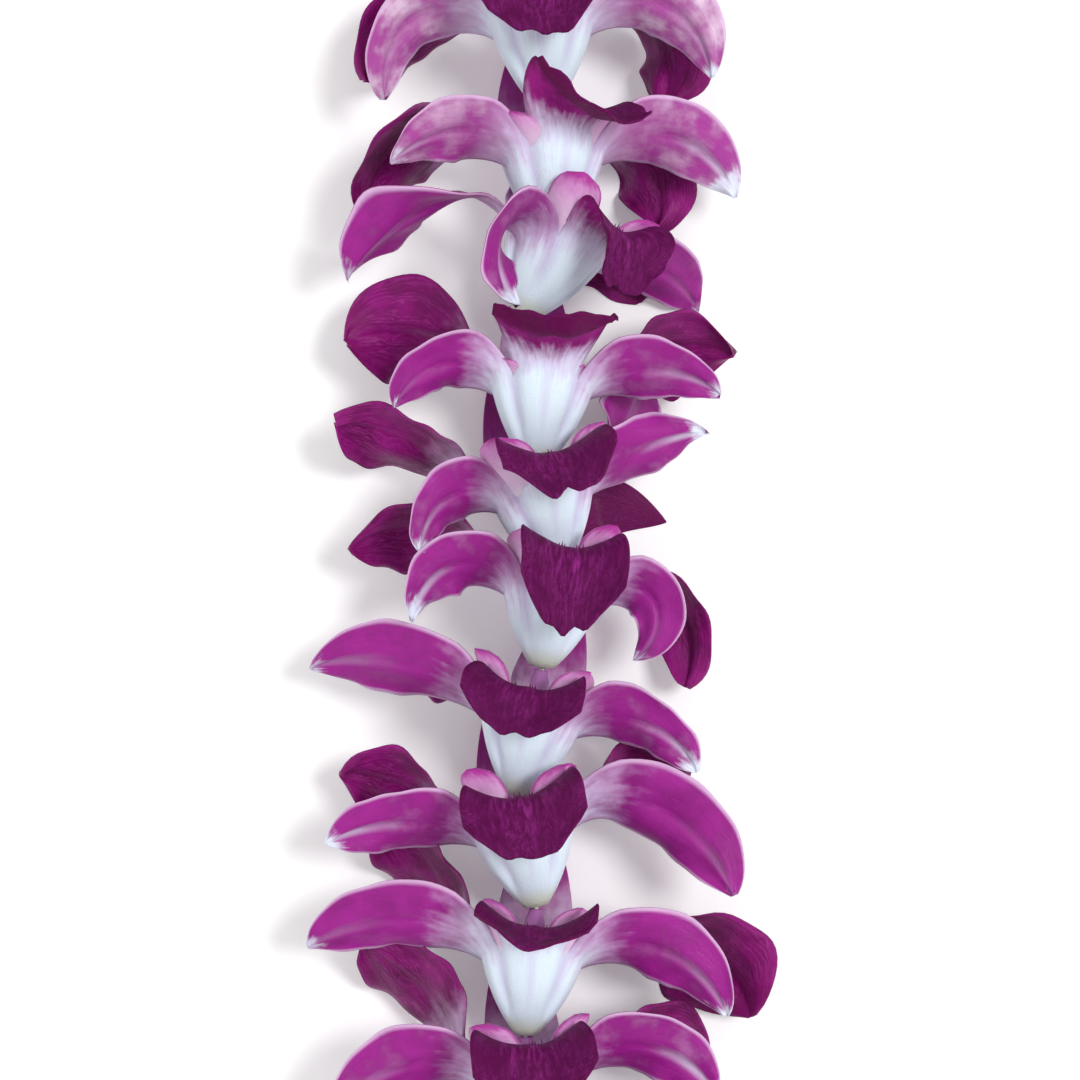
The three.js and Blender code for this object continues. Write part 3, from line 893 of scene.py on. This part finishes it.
    def build(self, finishes: dict[str, Material]) -> Object:
        """Makes the blossom, in place of its plain solid.

        Args:
            finishes: the materials by name.

        Returns:
            The object.
        """
        cloth = Fabric()
        for tepal, bend, side, seed in self.tepals():
            self.add_tepal(cloth, tepal, bend, side, seed)
        for side in Side:
            self.add_ear(cloth, side)
        self.add_column(cloth)
        self.add_crest(cloth)
        made = cloth.piece(f"{self.name}_petals", [finishes[key] for key in self.FINISHES], self.pose.tint)
        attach(made, "root")
        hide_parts(self.name)
        return made


@dataclass
class Thread:
    """The cotton thread: two plies twisted together, led through every nose and tied in one blossom's throat."""

    noses: list[Array]
    radius: float = 0.5
    twist: float = 3.2
    step: float = 0.55
    sides: int = 6
    knot_blossom: int = 30
    knot_height: float = 10.5
    knot_half: float = 0.714
    knot_steps: int = 72
    tail_reach: float = 4

    def tube(self, cloth: Fabric, path: Array, radius: float) -> None:
        """Adds a tube along a path.

        Args:
            cloth: the mesh under way.
            path: its points.
            radius: of the tube.
        """
        side, up = beside(path)
        shares = np.linspace(0, 1, self.sides + 1)
        angle = 2 * math.pi * shares[None, :, None]
        ring = np.cos(angle) * side[:, None] + np.sin(angle) * up[:, None]
        cloth.grid(path[:, None] + ring * radius, shares, np.linspace(0, 1, len(path))[:, None], 0, 0)

    def plies(self, cloth: Fabric, corners: Array) -> None:
        """Adds the two twisted plies along straight stretches.

        Args:
            cloth: the mesh under way.
            corners: the ends of the stretches.
        """
        lengths = np.concatenate([[0], np.cumsum(np.linalg.norm(np.diff(corners, axis=0), axis=1))])
        at = np.linspace(0, lengths[-1], max(4, int(lengths[-1] / self.step)))
        middle = np.stack([np.interp(at, lengths, corners[:, i]) for i in range(3)], axis=-1)
        side, up = beside(middle)
        for start in (0, math.pi):
            angle = (start + 2 * math.pi * at / self.twist)[:, None]
            offset = 0.48 * self.radius * (np.cos(angle) * side + np.sin(angle) * up)
            self.tube(cloth, middle + offset, 0.52 * self.radius)

    def build(self, cotton: Material) -> Object:
        """Makes the thread with its knot and two cut tails, in place of its plain solid.

        Args:
            cotton: its material.

        Returns:
            The object.
        """
        cloth = Fabric()
        first, second = self.noses[self.knot_blossom - 1], self.noses[self.knot_blossom]
        chord = unit(second - first)
        side = np.array([-chord[1], chord[0], 0])
        up = np.array([0, 0, 1.0])
        middle = first + chord * self.knot_height

        def away(along: float, across: float, above: float) -> Array:
            """Returns a point near the knot."""
            return middle + chord * along + side * across + up * above

        order = [*self.noses[self.knot_blossom :], *self.noses[: self.knot_blossom]]
        self.plies(cloth, np.array([away(0.5, 0, 0), *order, away(-0.5, 0, 0)]))
        self.plies(cloth, np.array([away(0, 0.5, 0.5), away(1, 2, 1), away(3, self.tail_reach, 0.5)]))
        self.plies(cloth, np.array([away(0, -0.5, 0.5), away(1, -2, 0.5), away(2, -self.tail_reach, 2)]))
        turn = np.linspace(0, 2 * math.pi, self.knot_steps + 1)[:, None]
        sideways = 0.6 * (np.sin(turn) + 1.6 * np.sin(2 * turn))
        upwards = 0.6 * (np.cos(turn) - 1.6 * np.cos(2 * turn))
        loops = middle + self.knot_half * (side * sideways + up * upwards - chord * np.sin(3 * turn))
        self.tube(cloth, loops, 0.75 * self.radius)
        made = cloth.piece("thread_plies", [cotton], 0)
        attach(made, "root")
        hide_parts("thread")
        return made


class Nodes:
    """Adds nodes to a tree and links them."""

    def __init__(self, tree: Tree) -> None:
        """Keeps the tree.

        Args:
            tree: the node tree to fill.
        """
        self.tree = tree

    def add(self, kind: str, **settings: object) -> Node:
        """Adds a node.

        Args:
            kind: Blender's name of the node type.
            **settings: values of its own properties.

        Returns:
            The node.
        """
        node = self.tree.nodes.new(kind)
        for key, value in settings.items():
            setattr(node, key, value)
        return node

    def feed(self, socket: Socket, value: Value | Colour) -> None:
        """Links a socket to another, or gives it a value."""
        if isinstance(value, Socket):
            self.tree.links.new(value, socket)
        else:
            socket.default_value = value

    def fill(self, node: Node, values: dict[str | int, Value | Colour]) -> Node:
        """Links or sets inputs of a node, by name or number, and returns the node."""
        for key, value in values.items():
            self.feed(node.inputs[key], value)
        return node

    def maths(self, operation: str, first: Value, second: Value = 0.0) -> Socket:
        """Adds a calculation with one or two values.

        Args:
            operation: Blender's name of it.
            first: the first value.
            second: the second value.

        Returns:
            The result's socket.
        """
        return self.fill(self.add("ShaderNodeMath", operation=operation), {0: first, 1: second}).outputs[0]

    def plus(self, first: Value, second: Value) -> Socket:
        """Returns the sum of two values."""
        return self.maths("ADD", first, second)

    def less(self, first: Value, second: Value) -> Socket:
        """Returns the first value less the second."""
        return self.maths("SUBTRACT", first, second)

    def times(self, first: Value, *others: Value) -> Socket:
        """Returns the product of two or more values."""
        for other in others:
            first = self.maths("MULTIPLY", first, other)
        return first

    def rise(self, value: Socket, low: float, high: float, start: float = 0.0, end: float = 1.0) -> Socket:
        """Eases a value from start to end between low and high.

        Args:
            value: the value to ease.
            low: where the change begins.
            high: where it is done.
            start: the result below low.
            end: the result above high.

        Returns:
            The eased value's socket.
        """
        node = self.add("ShaderNodeMapRange", interpolation_type="SMOOTHSTEP")
        return self.fill(node, dict(enumerate((value, low, high, start, end)))).outputs[0]

    def blend(self, share: Value, first: Socket | Colour, second: Socket | Colour) -> Socket:
        """Mixes two colours.

        Args:
            share: of the second one.
            first: the first colour.
            second: the second colour.

        Returns:
            The mixed colour's socket.
        """
        node = self.add("ShaderNodeMix", data_type="RGBA")
        return self.fill(node, {0: share, 6: first, 7: second}).outputs[2]

    def noise(self, where: Socket, scale: float, detail: float = 3.0, rough: float = 0.55) -> Socket:
        """Adds a cloudy pattern.

        Args:
            where: the coordinates.
            scale: how fine it is.
            detail: how many finer layers it has.
            rough: how strong those are.

        Returns:
            Its value's socket, from 0 to 1.
        """
        values = {"Vector": where, "Scale": scale, "Detail": detail, "Roughness": rough}
        return self.fill(self.add("ShaderNodeTexNoise"), values).outputs["Fac"]

    def bump(self, height: Socket, strength: float, distance: float) -> Socket:
        """Adds a relief.

        Args:
            height: its height, from 0 to 1.
            strength: how strongly it shows.
            distance: how high it stands, in metres.

        Returns:
            The normal's socket.
        """
        values = {"Strength": strength, "Distance": distance, "Height": height}
        return self.fill(self.add("ShaderNodeBump"), values).outputs[0]

    def vector(self, x: Value, y: Value, z: Value = 0.0) -> Socket:
        """Returns the socket of a vector put together from three values."""
        return self.fill(self.add("ShaderNodeCombineXYZ"), {0: x, 1: y, 2: z}).outputs[0]

    def attribute(self, name: str) -> Socket:
        """Returns the value stored at the corners under a name."""
        return self.add("ShaderNodeAttribute", attribute_name=name).outputs["Fac"]


def new_material(name: str) -> tuple[Material, Nodes, Node]:
    """Returns a new material, its nodes and its Principled shader."""
    material = bpy.data.materials.new(name)
    material.use_nodes = True
    return material, Nodes(material.node_tree), material.node_tree.nodes["Principled BSDF"]


def new_group(name: str, inputs: dict[str, float], outputs: list[str]) -> tuple[Nodes, Node, Node]:
    """Starts a shader node group.

    Args:
        name: of the group.
        inputs: its value inputs, with their ordinary values.
        outputs: its value outputs.

    Returns:
        Its nodes, its input node and its output node.
    """
    tree = bpy.data.node_groups.new(name, "ShaderNodeTree")
    for key, value in inputs.items():
        tree.interface.new_socket(key, in_out="INPUT", socket_type="NodeSocketFloat").default_value = value
    for key in outputs:
        tree.interface.new_socket(key, in_out="OUTPUT", socket_type="NodeSocketFloat")
    nodes = Nodes(tree)
    return nodes, nodes.add("NodeGroupInput"), nodes.add("NodeGroupOutput")


def vein_group() -> Tree:
    """Builds the veins that run the length of a blade and fan out from its root.

    Returns:
        The group. Veins is 1 on a vein and Streaks is a soft pattern drawn out along the blade.
    """
    nodes, given, result = new_group(
        "blade veins",
        {"Across": 0.5, "Along": 0.5, "Count": 12, "Wander": 1, "Stretch": 1, "Fan": 0},
        ["Veins", "Streaks"],
    )
    given = given.outputs
    along = given["Along"]
    fan = nodes.plus(nodes.times(given["Fan"], nodes.less(1.0, along)), 1.0)
    across = nodes.plus(nodes.times(nodes.less(given["Across"], 0.5), fan), 0.5)
    where = nodes.vector(nodes.times(across, 3.0), nodes.times(along, 2.2))
    drift = nodes.less(nodes.noise(where, 2.4), 0.5)
    faint = nodes.rise(nodes.noise(where, 5.0, 2.0), 0.35, 0.62, 0.25, 1.0)
    lines = []
    # The main veins start at the root, and twice as many finer ones further up.
    for finer, start, end in ((1.0, 0.0, 0.1), (2.0, 0.3, 0.75)):
        wander = nodes.times(drift, nodes.times(given["Wander"], 1.7 * finer))
        line = nodes.plus(nodes.times(across, nodes.times(given["Count"], finer)), wander)
        off = nodes.maths("ABSOLUTE", nodes.less(nodes.maths("FRACT", line), 0.5))
        lines.append(nodes.times(nodes.rise(off, 0.02, 0.11 * finer, 1.0, 0.0), nodes.rise(along, start, end), faint))
    drawn = nodes.vector(nodes.times(across, 5.0), nodes.times(along, given["Stretch"]))
    nodes.fill(result, {"Veins": nodes.maths("MAXIMUM", *lines), "Streaks": nodes.noise(drawn, 1.7, 4.0, 0.56)})
    return nodes.tree


def flesh_group() -> Tree:
    """Builds the mottle and the fine cells of petal flesh.

    Returns:
        The group. Mottle is a slow cloudy change, Cells the tiny raised cells.
    """
    nodes, given, result = new_group("petal flesh", {"Size": 1}, ["Mottle", "Cells"])
    place = nodes.add("ShaderNodeTexCoord").outputs["Object"]
    scaling = nodes.add("ShaderNodeVectorMath", operation="SCALE")
    scaled = nodes.fill(scaling, {0: place, "Scale": given.outputs["Size"]}).outputs[0]
    cells = nodes.fill(nodes.add("ShaderNodeTexVoronoi", feature="F1"), {"Vector": scaled, "Scale": 2600.0})
    raised = nodes.less(1.0, cells.outputs["Distance"])
    nodes.fill(result, {"Mottle": nodes.noise(scaled, 190.0, 3.0), "Cells": raised})
    return nodes.tree


@dataclass(frozen=True)
class Places:
    """What tells the spots of a blade apart, each a socket.

    along runs from the nose over the rim to the blade's tip and t from the rim alone. edge is 0 at the midrib and 1
    at the edge. frayed is t with its course drawn out along the blade and broken up in clouds. shown_veins are the
    veins as strong as their colour shows.
    """

    across: Socket
    along: Socket
    t: Socket
    edge: Socket
    wild: Socket
    mottle: Socket
    cells: Socket
    veins: Socket
    streaks: Socket
    shown_veins: Socket
    streak: Socket
    cloud: Socket
    frayed: Socket


@dataclass(frozen=True)
class PetalFinish:
    """The skin of one kind of tepal: where its colours lie, its veins and its waxy surface.

    A span is where a change begins and where it is done: along the blade from 0 at the rim to 1 at the tip, except
    that those of the nose and the seams run from the nose with the rim at RIM_SHARE, from the midrib at 0 to the edge
    at 1 where edge is in the name, and over a cloudy pattern's values where mottle is.
    """

    name: str
    cup: Colour = shade(226, 241, 253)
    nose: Colour = shade(212, 220, 198)
    flush: Colour = shade(214, 196, 228)
    body: Colour = shade(154, 32, 137)
    deep: Colour = shade(112, 12, 96)
    margin: Colour = shade(224, 190, 226)
    tip: Colour = shade(221, 226, 242)
    inside: Colour = shade(140, 20, 112)
    throat: Colour = shade(226, 208, 226)
    pale: Colour = shade(206, 140, 198)
    bleached: Colour = shade(234, 212, 232)
    # seam is a painted shade, laid in the cup's grooves between the tepals and down the crease under the lip.
    seam: Colour = shade(202, 188, 226)
    nose_span: Span = (0.0, 0.09)
    flush_span: Span = (-0.16, 0.1)
    body_span: Span = (-0.06, 0.3)
    inside_span: Span = (0.02, 0.3)
    tip_span: Span = (0.88, 1.0)
    margin_span: Span = (0.02, 0.3)
    margin_edge: Span = (0.86, 1.0)
    keel_span: Span = (0.4, 0.9)
    keel_edge: Span = (0.02, 0.26)
    seam_start: Span = (0.06, 0.22)
    seam_end: Span = (0.3, 0.42)
    seam_edge: Span = (0.6, 1.0)
    groove_edge: Span = (0.0, 0.22)
    deep_mottle: Span = (0.35, 0.7)
    dark_mottle: Span = (0.4, 0.75)
    blush_mottle: Span = (0.5, 0.75)
    bleach_mottle: Span = (0.36, 0.76)
    vein_mottle: Span = (0.4, 0.66)
    deep_share: float = 0.5
    dark_share: float = 0.4
    margin_share: float = 0.8
    keel_and_highlight_share: float = 0.5
    tip_share: float = 1.0
    tint_share: float = 0.8
    blush_share: float = 0.35
    seam_shade_share: float = 0.55
    groove_shade_share: float = 0.0
    fray: float = 0.26
    clouds: float = 0.3
    stray: float = 0.16
    velvet_sheen: float = 0.0
    fan: float = 0.0
    wander: float = 1.1
    stretch: float = 3.0
    vein_count: float = 9
    vein_share: float = 0.15
    light_veins: bool = False
    roughness: float = 0.42
    gloss: float = 0.2
    bump: float = 0.3
    bump_height: float = 0.3
    glow_through: float = 0.12
    glow_depth: float = 1.2

    @property
    def vein(self) -> Colour:
        """Returns the veins' colour."""
        return self.pale if self.light_veins else self.deep

    def places(self, nodes: Nodes, veins: Tree, flesh: Tree) -> Places:
        """Adds what tells the spots of the blade apart.

        Args:
            nodes: the material's.
            veins: the shared group of veins.
            flesh: the shared group of petal flesh.

        Returns:
            The sockets.
        """
        chart = nodes.add("ShaderNodeUVMap", uv_map="blade").outputs[0]
        across, along, _ = nodes.fill(nodes.add("ShaderNodeSeparateXYZ"), {0: chart}).outputs
        t = nodes.maths("DIVIDE", nodes.less(along, RIM_SHARE), 1 - RIM_SHARE)
        given = {"Across": across, "Along": t, "Stretch": self.stretch, "Fan": self.fan}
        given |= {"Count": self.vein_count, "Wander": self.wander}
        vein = nodes.fill(nodes.add("ShaderNodeGroup", node_tree=veins), given).outputs
        skin = nodes.add("ShaderNodeGroup", node_tree=flesh).outputs
        wild = nodes.attribute("wild")
        streak = nodes.times(nodes.less(vein["Streaks"], 0.5), self.fray)
        cloud = nodes.times(nodes.less(skin["Mottle"], 0.5), self.clouds)
        shift = nodes.times(nodes.less(wild, 0.5), self.stray)
        return Places(
            across=across,
            along=along,
            t=t,
            edge=nodes.maths("ABSOLUTE", nodes.less(nodes.times(across, 2.0), 1.0)),
            wild=wild,
            mottle=skin["Mottle"],
            cells=skin["Cells"],
            veins=vein["Veins"],
            streaks=vein["Streaks"],
            shown_veins=nodes.times(vein["Veins"], self.vein_share),
            streak=streak,
            cloud=cloud,
            frayed=nodes.plus(nodes.plus(t, streak), nodes.plus(shift, cloud)),
        )

    def cup_colour(self, nodes: Nodes, at: Places) -> Socket:
        """Returns the cup's colour: a greenish nose, a lavender flush at the rim, and painted shade in lavender along
        its grooves.
        """
        cup = nodes.blend(nodes.rise(at.along, *self.nose_span), self.nose, self.cup)
        cup = nodes.blend(nodes.rise(at.frayed, *self.flush_span), cup, self.flush)
        # Painted shade: the seam colour darkens the grooves between the tepals and, on the lip's part, the crease
        # down its middle.
        groove = nodes.times(nodes.rise(at.edge, *self.groove_edge, 1.0, 0.0), self.groove_shade_share)
        seam = nodes.maths("MAXIMUM", nodes.rise(at.edge, *self.seam_edge), groove)
        seam = nodes.times(seam, nodes.rise(at.along, *self.seam_start), nodes.rise(at.along, *self.seam_end, 1, 0))
        return nodes.blend(nodes.times(seam, self.seam_shade_share), cup, self.seam)

    def body_colour(self, nodes: Nodes, at: Places) -> Socket:
        """Returns the blade's own colour, with deeper clouds, paler ones, places bleached by age, and veins."""
        deep = nodes.times(nodes.rise(at.mottle, *self.deep_mottle), self.deep_share)
        body = nodes.blend(deep, self.body, self.deep)
        tint = nodes.times(nodes.maths("MAXIMUM", nodes.attribute("tint"), 0.0), self.tint_share)
        bleach = nodes.rise(nodes.plus(at.mottle, at.streak), *self.bleach_mottle)
        bleach = nodes.times(bleach, tint, nodes.rise(at.edge, 0.0, 0.7, 0.5, 1.6))
        body = nodes.blend(bleach, nodes.blend(nodes.times(tint, 0.4), body, self.pale), self.bleached)
        blush = nodes.times(nodes.rise(at.mottle, *self.blush_mottle), nodes.rise(at.wild, 0.1, 0.9))
        body = nodes.blend(nodes.times(blush, self.blush_share), body, self.pale)
        return nodes.blend(at.shown_veins, body, self.vein)

    def outer_colour(self, nodes: Nodes, at: Places) -> Socket:
        """Returns the outer face's colour, with the pale midrib, partly painted highlight, the margin and the tip."""
        body_share = nodes.rise(at.frayed, *self.body_span)
        colour = nodes.blend(body_share, self.cup_colour(nodes, at), self.body_colour(nodes, at))
        # Partly painted highlight: the pale band down the midrib is the keel's own paler colour with a highlight
        # painted along its ridge.
        keel = nodes.times(nodes.rise(at.edge, *self.keel_edge, 1.0, 0.0), nodes.rise(at.frayed, *self.keel_span))
        keel = nodes.times(keel, nodes.rise(at.wild, 0.2, 0.9, 0.2 * self.keel_and_highlight_share, self.keel_and_highlight_share))
        colour = nodes.blend(keel, colour, self.tip)
        margin = nodes.rise(nodes.plus(at.edge, nodes.times(at.streak, 0.2)), *self.margin_edge)
        margin = nodes.times(margin, nodes.rise(at.t, *self.margin_span), self.margin_share)
        colour = nodes.blend(margin, colour, self.margin)
        return nodes.blend(nodes.times(nodes.rise(at.frayed, *self.tip_span), self.tip_share), colour, self.tip)

    def inner_colour(self, nodes: Nodes, at: Places) -> Socket:
        """Returns the inner face's colour, with veins, darker clouds and, on a lip, a painted sheen on its pile."""
        colour = nodes.blend(nodes.rise(at.frayed, *self.inside_span), self.throat, self.inside)
        shown = nodes.times(at.shown_veins, nodes.rise(at.mottle, *self.vein_mottle))
        colour = nodes.blend(shown, colour, self.vein)
        dark = nodes.times(nodes.rise(at.mottle, *self.dark_mottle), self.dark_share)
        colour = nodes.blend(dark, colour, self.deep)
        # Painted sheen: pale colour laid over the lip's pile, strongest near its midrib and root and fading towards
        # its edges and tip.
        fibre = nodes.vector(nodes.times(at.across, 26.0), nodes.times(at.t, 7.0), at.wild)
        pile = nodes.rise(nodes.noise(fibre, 1.0, 4.0, 0.62), 0.42, 0.8)
        outwards = nodes.plus(nodes.plus(nodes.times(at.edge, 0.7), at.t), nodes.times(at.cloud, 1.4))
        lit = nodes.times(pile, nodes.rise(outwards, 0.2, 1.15, 1.0, 0.22), nodes.rise(at.wild, 0.0, 1.0, 0.6, 1.4))
        return nodes.blend(nodes.times(lit, self.velvet_sheen), colour, self.pale)

    def build(self, veins: Tree, flesh: Tree) -> Material:
        """Builds the material.

        Args:
            veins: the shared group of veins.
            flesh: the shared group of petal flesh.

        Returns:
            The material.
        """
        material, nodes, shader = new_material(self.name)
        at = self.places(nodes, veins, flesh)
        colour = nodes.blend(nodes.attribute("inner"), self.outer_colour(nodes, at), self.inner_colour(nodes, at))
        relief = nodes.plus(nodes.times(at.cells, 0.35), nodes.times(at.veins, -0.5))
        relief = nodes.plus(relief, nodes.times(at.streaks, 0.9))
        surface = {
            "Base Color": colour,
            "Roughness": nodes.rise(at.mottle, 0.2, 0.8, self.roughness - 0.06, self.roughness + 0.1),
            "Normal": nodes.bump(relief, self.bump, self.bump_height * MM),
            "Specular IOR Level": self.gloss,
            "Subsurface Weight": self.glow_through,
            "Subsurface Radius": (1.0, 0.5, 0.8),
            "Subsurface Scale": self.glow_depth * MM,
        }
        nodes.fill(shader, surface)
        return material


@dataclass(frozen=True)
class CottonFinish:
    """Undyed cotton with fine fibres."""

    name: str = "cotton thread"
    light: Colour = shade(243, 240, 230)
    dark: Colour = shade(205, 199, 184)

    def build(self) -> Material:
        """Returns the material."""
        material, nodes, shader = new_material(self.name)
        fibres = nodes.noise(nodes.add("ShaderNodeTexCoord").outputs["Object"], 5200.0, 4.0, 0.7)
        surface = {
            "Base Color": nodes.blend(fibres, self.dark, self.light),
            "Roughness": nodes.rise(fibres, 0.2, 0.8, 0.8, 0.95),
            "Normal": nodes.bump(fibres, 0.5, 0.1 * MM),
        }
        nodes.fill(shader, surface)
        return material


@dataclass(frozen=True)
class TableFinish:
    """A plain white table top with the faintest unevenness."""

    name: str = "white table"
    light: Colour = (0.97, 0.97, 0.97, 1.0)
    dark: Colour = (0.95, 0.95, 0.95, 1.0)
    glow: float = 0.13

    def build(self) -> Material:
        """Returns the material."""
        material, nodes, shader = new_material(self.name)
        cloud = nodes.noise(nodes.add("ShaderNodeTexCoord").outputs["Object"], 9.0, 2.0)
        surface = {
            "Base Color": nodes.blend(cloud, self.dark, self.light),
            "Roughness": 0.9,
            "Specular IOR Level": 0.1,
            "Emission Color": self.light,
            "Emission Strength": self.glow,
        }
        nodes.fill(shader, surface)
        return material


@dataclass(frozen=True)
class Finishes:
    """All finishes of the blossoms."""

    sepal: PetalFinish = PetalFinish("side sepal")
    # Partly painted shade: the petals' own deep magenta, darkened further as a shaded copy of the side sepal's
    # finish.
    petal: PetalFinish = PetalFinish(
        "petal", body=shade(132, 15, 108), deep=shade(90, 2, 68), inside=shade(102, 4, 78),
        margin=shade(150, 40, 128), tip=shade(120, 12, 92), body_span=(0.06, 0.48), deep_share=0.9,
        margin_share=0.3, keel_and_highlight_share=0.1, tip_share=0.6, tint_share=0.0, blush_share=0.2,
        inside_span=(0.0, 0.2), pale=shade(168, 58, 146), light_veins=True, vein_count=8, vein_share=0.4,
        gloss=0.14,
    )
    back_sepal: PetalFinish = PetalFinish(
        "back sepal", body=shade(156, 48, 138), deep=shade(118, 22, 98), inside=shade(152, 50, 134),
        throat=shade(214, 190, 218), tip=shade(176, 96, 164), body_span=(0.0, 0.5), inside_span=(0.05, 0.55),
        vein_share=0.3,
    )
    lip: PetalFinish = PetalFinish(
        "lip", body=shade(158, 30, 130), deep=shade(78, 4, 62), inside=shade(84, 4, 66),
        flush=shade(214, 206, 234), tip=shade(96, 6, 72), margin=shade(110, 10, 84), flush_span=(-0.1, 0.1),
        body_span=(0.06, 0.3), groove_shade_share=0.6, margin_share=0.4, keel_and_highlight_share=0.0, tip_span=(0.35, 0.6),
        tint_share=0.0, blush_share=0.2, inside_span=(0.05, 0.26), pale=shade(172, 54, 156), light_veins=True,
        vein_count=9, vein_share=0.5, wander=3.0, velvet_sheen=0.7, fan=1.6, roughness=0.62, gloss=0.1, bump=0.5,
    )
    ear: PetalFinish = PetalFinish(
        "lip ear", cup=shade(232, 222, 236), nose=shade(230, 226, 234), flush=shade(224, 190, 222),
        body=shade(206, 138, 196), deep=shade(176, 84, 160), margin=shade(166, 44, 142),
        tip=shade(170, 52, 148), inside=shade(208, 148, 200), body_span=(0.2, 0.9), keel_and_highlight_share=0.0,
        tip_span=(0.8, 1.0), inside_span=(0.2, 0.9), vein_count=9, vein_share=0.45,
    )
    # Painted shade: the column itself is white, but it takes the shaded lavender of the throat it stands in, darkest
    # at its top.
    column: PetalFinish = PetalFinish(
        "column", cup=shade(214, 192, 222), nose=shade(214, 192, 222), flush=shade(206, 172, 214),
        body=shade(186, 134, 188), deep=shade(150, 84, 148), margin=shade(190, 150, 194),
        tip=shade(166, 104, 166), tip_span=(0.75, 1.0), keel_and_highlight_share=0.0, margin_share=0.0, vein_count=8,
    )
    crest: PetalFinish = PetalFinish(
        "lip crest", cup=shade(98, 10, 76), nose=shade(98, 10, 76), flush=shade(98, 10, 76),
        body=shade(110, 16, 86), tip=shade(150, 70, 130), margin=shade(110, 16, 86), keel_and_highlight_share=0.0,
    )

    def build(self) -> dict[str, Material]:
        """Returns the materials by name, with the shared groups built once."""
        veins, flesh = vein_group(), flesh_group()
        return {key: getattr(self, key).build(veins, flesh) for key in Blossom.FINISHES}


@dataclass
class Studio:
    """The table, the light and the camera."""

    strand_x: float = -90
    strand_z: float = 18
    frame_width: float = 175
    camera_distance: float = 620
    sensor: float = 36
    table_half: float = 1500
    sun_strength: float = 1.55
    sun_angle: float = 16
    sun_lean: float = 24
    sun_nod: float = -8
    sky: float = 0.87

    def table(self) -> Object:
        """Returns the table top."""
        half = self.table_half * MM
        mesh = bpy.data.meshes.new("table_top")
        corners = [(-half, -half, 0), (half, -half, 0), (half, half, 0), (-half, half, 0)]
        mesh.from_pydata(corners, [], [(0, 1, 2, 3)])
        mesh.materials.append(TableFinish().build())
        top = bpy.data.objects.new("table_top", mesh)
        bpy.context.scene.collection.objects.link(top)
        return top

    def light(self) -> None:
        """Adds the soft light, from the right as the camera sees it, and a pale sky."""
        sun = bpy.data.objects.new("sun", bpy.data.lights.new("sun", "SUN"))
        sun.data.energy = self.sun_strength
        sun.data.angle = math.radians(self.sun_angle)
        sun.rotation_euler = (math.radians(self.sun_nod), math.radians(self.sun_lean), 0)
        bpy.context.scene.collection.objects.link(sun)
        world = bpy.data.worlds.new("sky")
        world.use_nodes = True
        sky = {"Color": (1.0, 1.0, 1.0, 1.0), "Strength": self.sky}
        Nodes(world.node_tree).fill(world.node_tree.nodes["Background"], sky)
        bpy.context.scene.world = world
        bpy.context.scene.view_settings.view_transform = "Standard"

    def camera(self) -> Object:
        """Returns the camera, straight above the near strand."""
        lens = self.sensor * self.camera_distance / self.frame_width
        made = bpy.data.objects.new("camera", bpy.data.cameras.new("camera"))
        made.data.sensor_width = self.sensor
        made.data.lens = lens
        made.data.clip_end = 10
        made.location = Vector((self.strand_x, 0, self.strand_z + self.camera_distance)) * MM
        bpy.context.scene.collection.objects.link(made)
        bpy.context.scene.camera = made
        return made


def main() -> None:
    """Builds the lei and its studio."""
    logging.basicConfig(level=logging.INFO, format="%(message)s")
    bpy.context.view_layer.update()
    studio = Studio()
    studio.camera()
    studio.light()
    studio.table()
    finishes = Finishes().build()
    ring = Ring()
    poses = ring.poses()
    noses = [ring.nose(pose) for pose in poses]
    for i, pose in enumerate(poses):
        fineness = CLOSE_UP if i < len(NEAR_STRAND) else ORDINARY
        name = f"blossom_{i + 1:02d}"
        blossom = Blossom(name, i, pose, noses[i], noses[(i + 1) % len(noses)], fineness)
        made = blossom.build(finishes)
        LOG.info("%s: %d faces", made.name, len(made.data.polygons))
    strand = Thread(noses).build(CottonFinish().build())
    LOG.info("%s: %d faces", strand.name, len(strand.data.polygons))


if __name__ == "__main__":
    main()
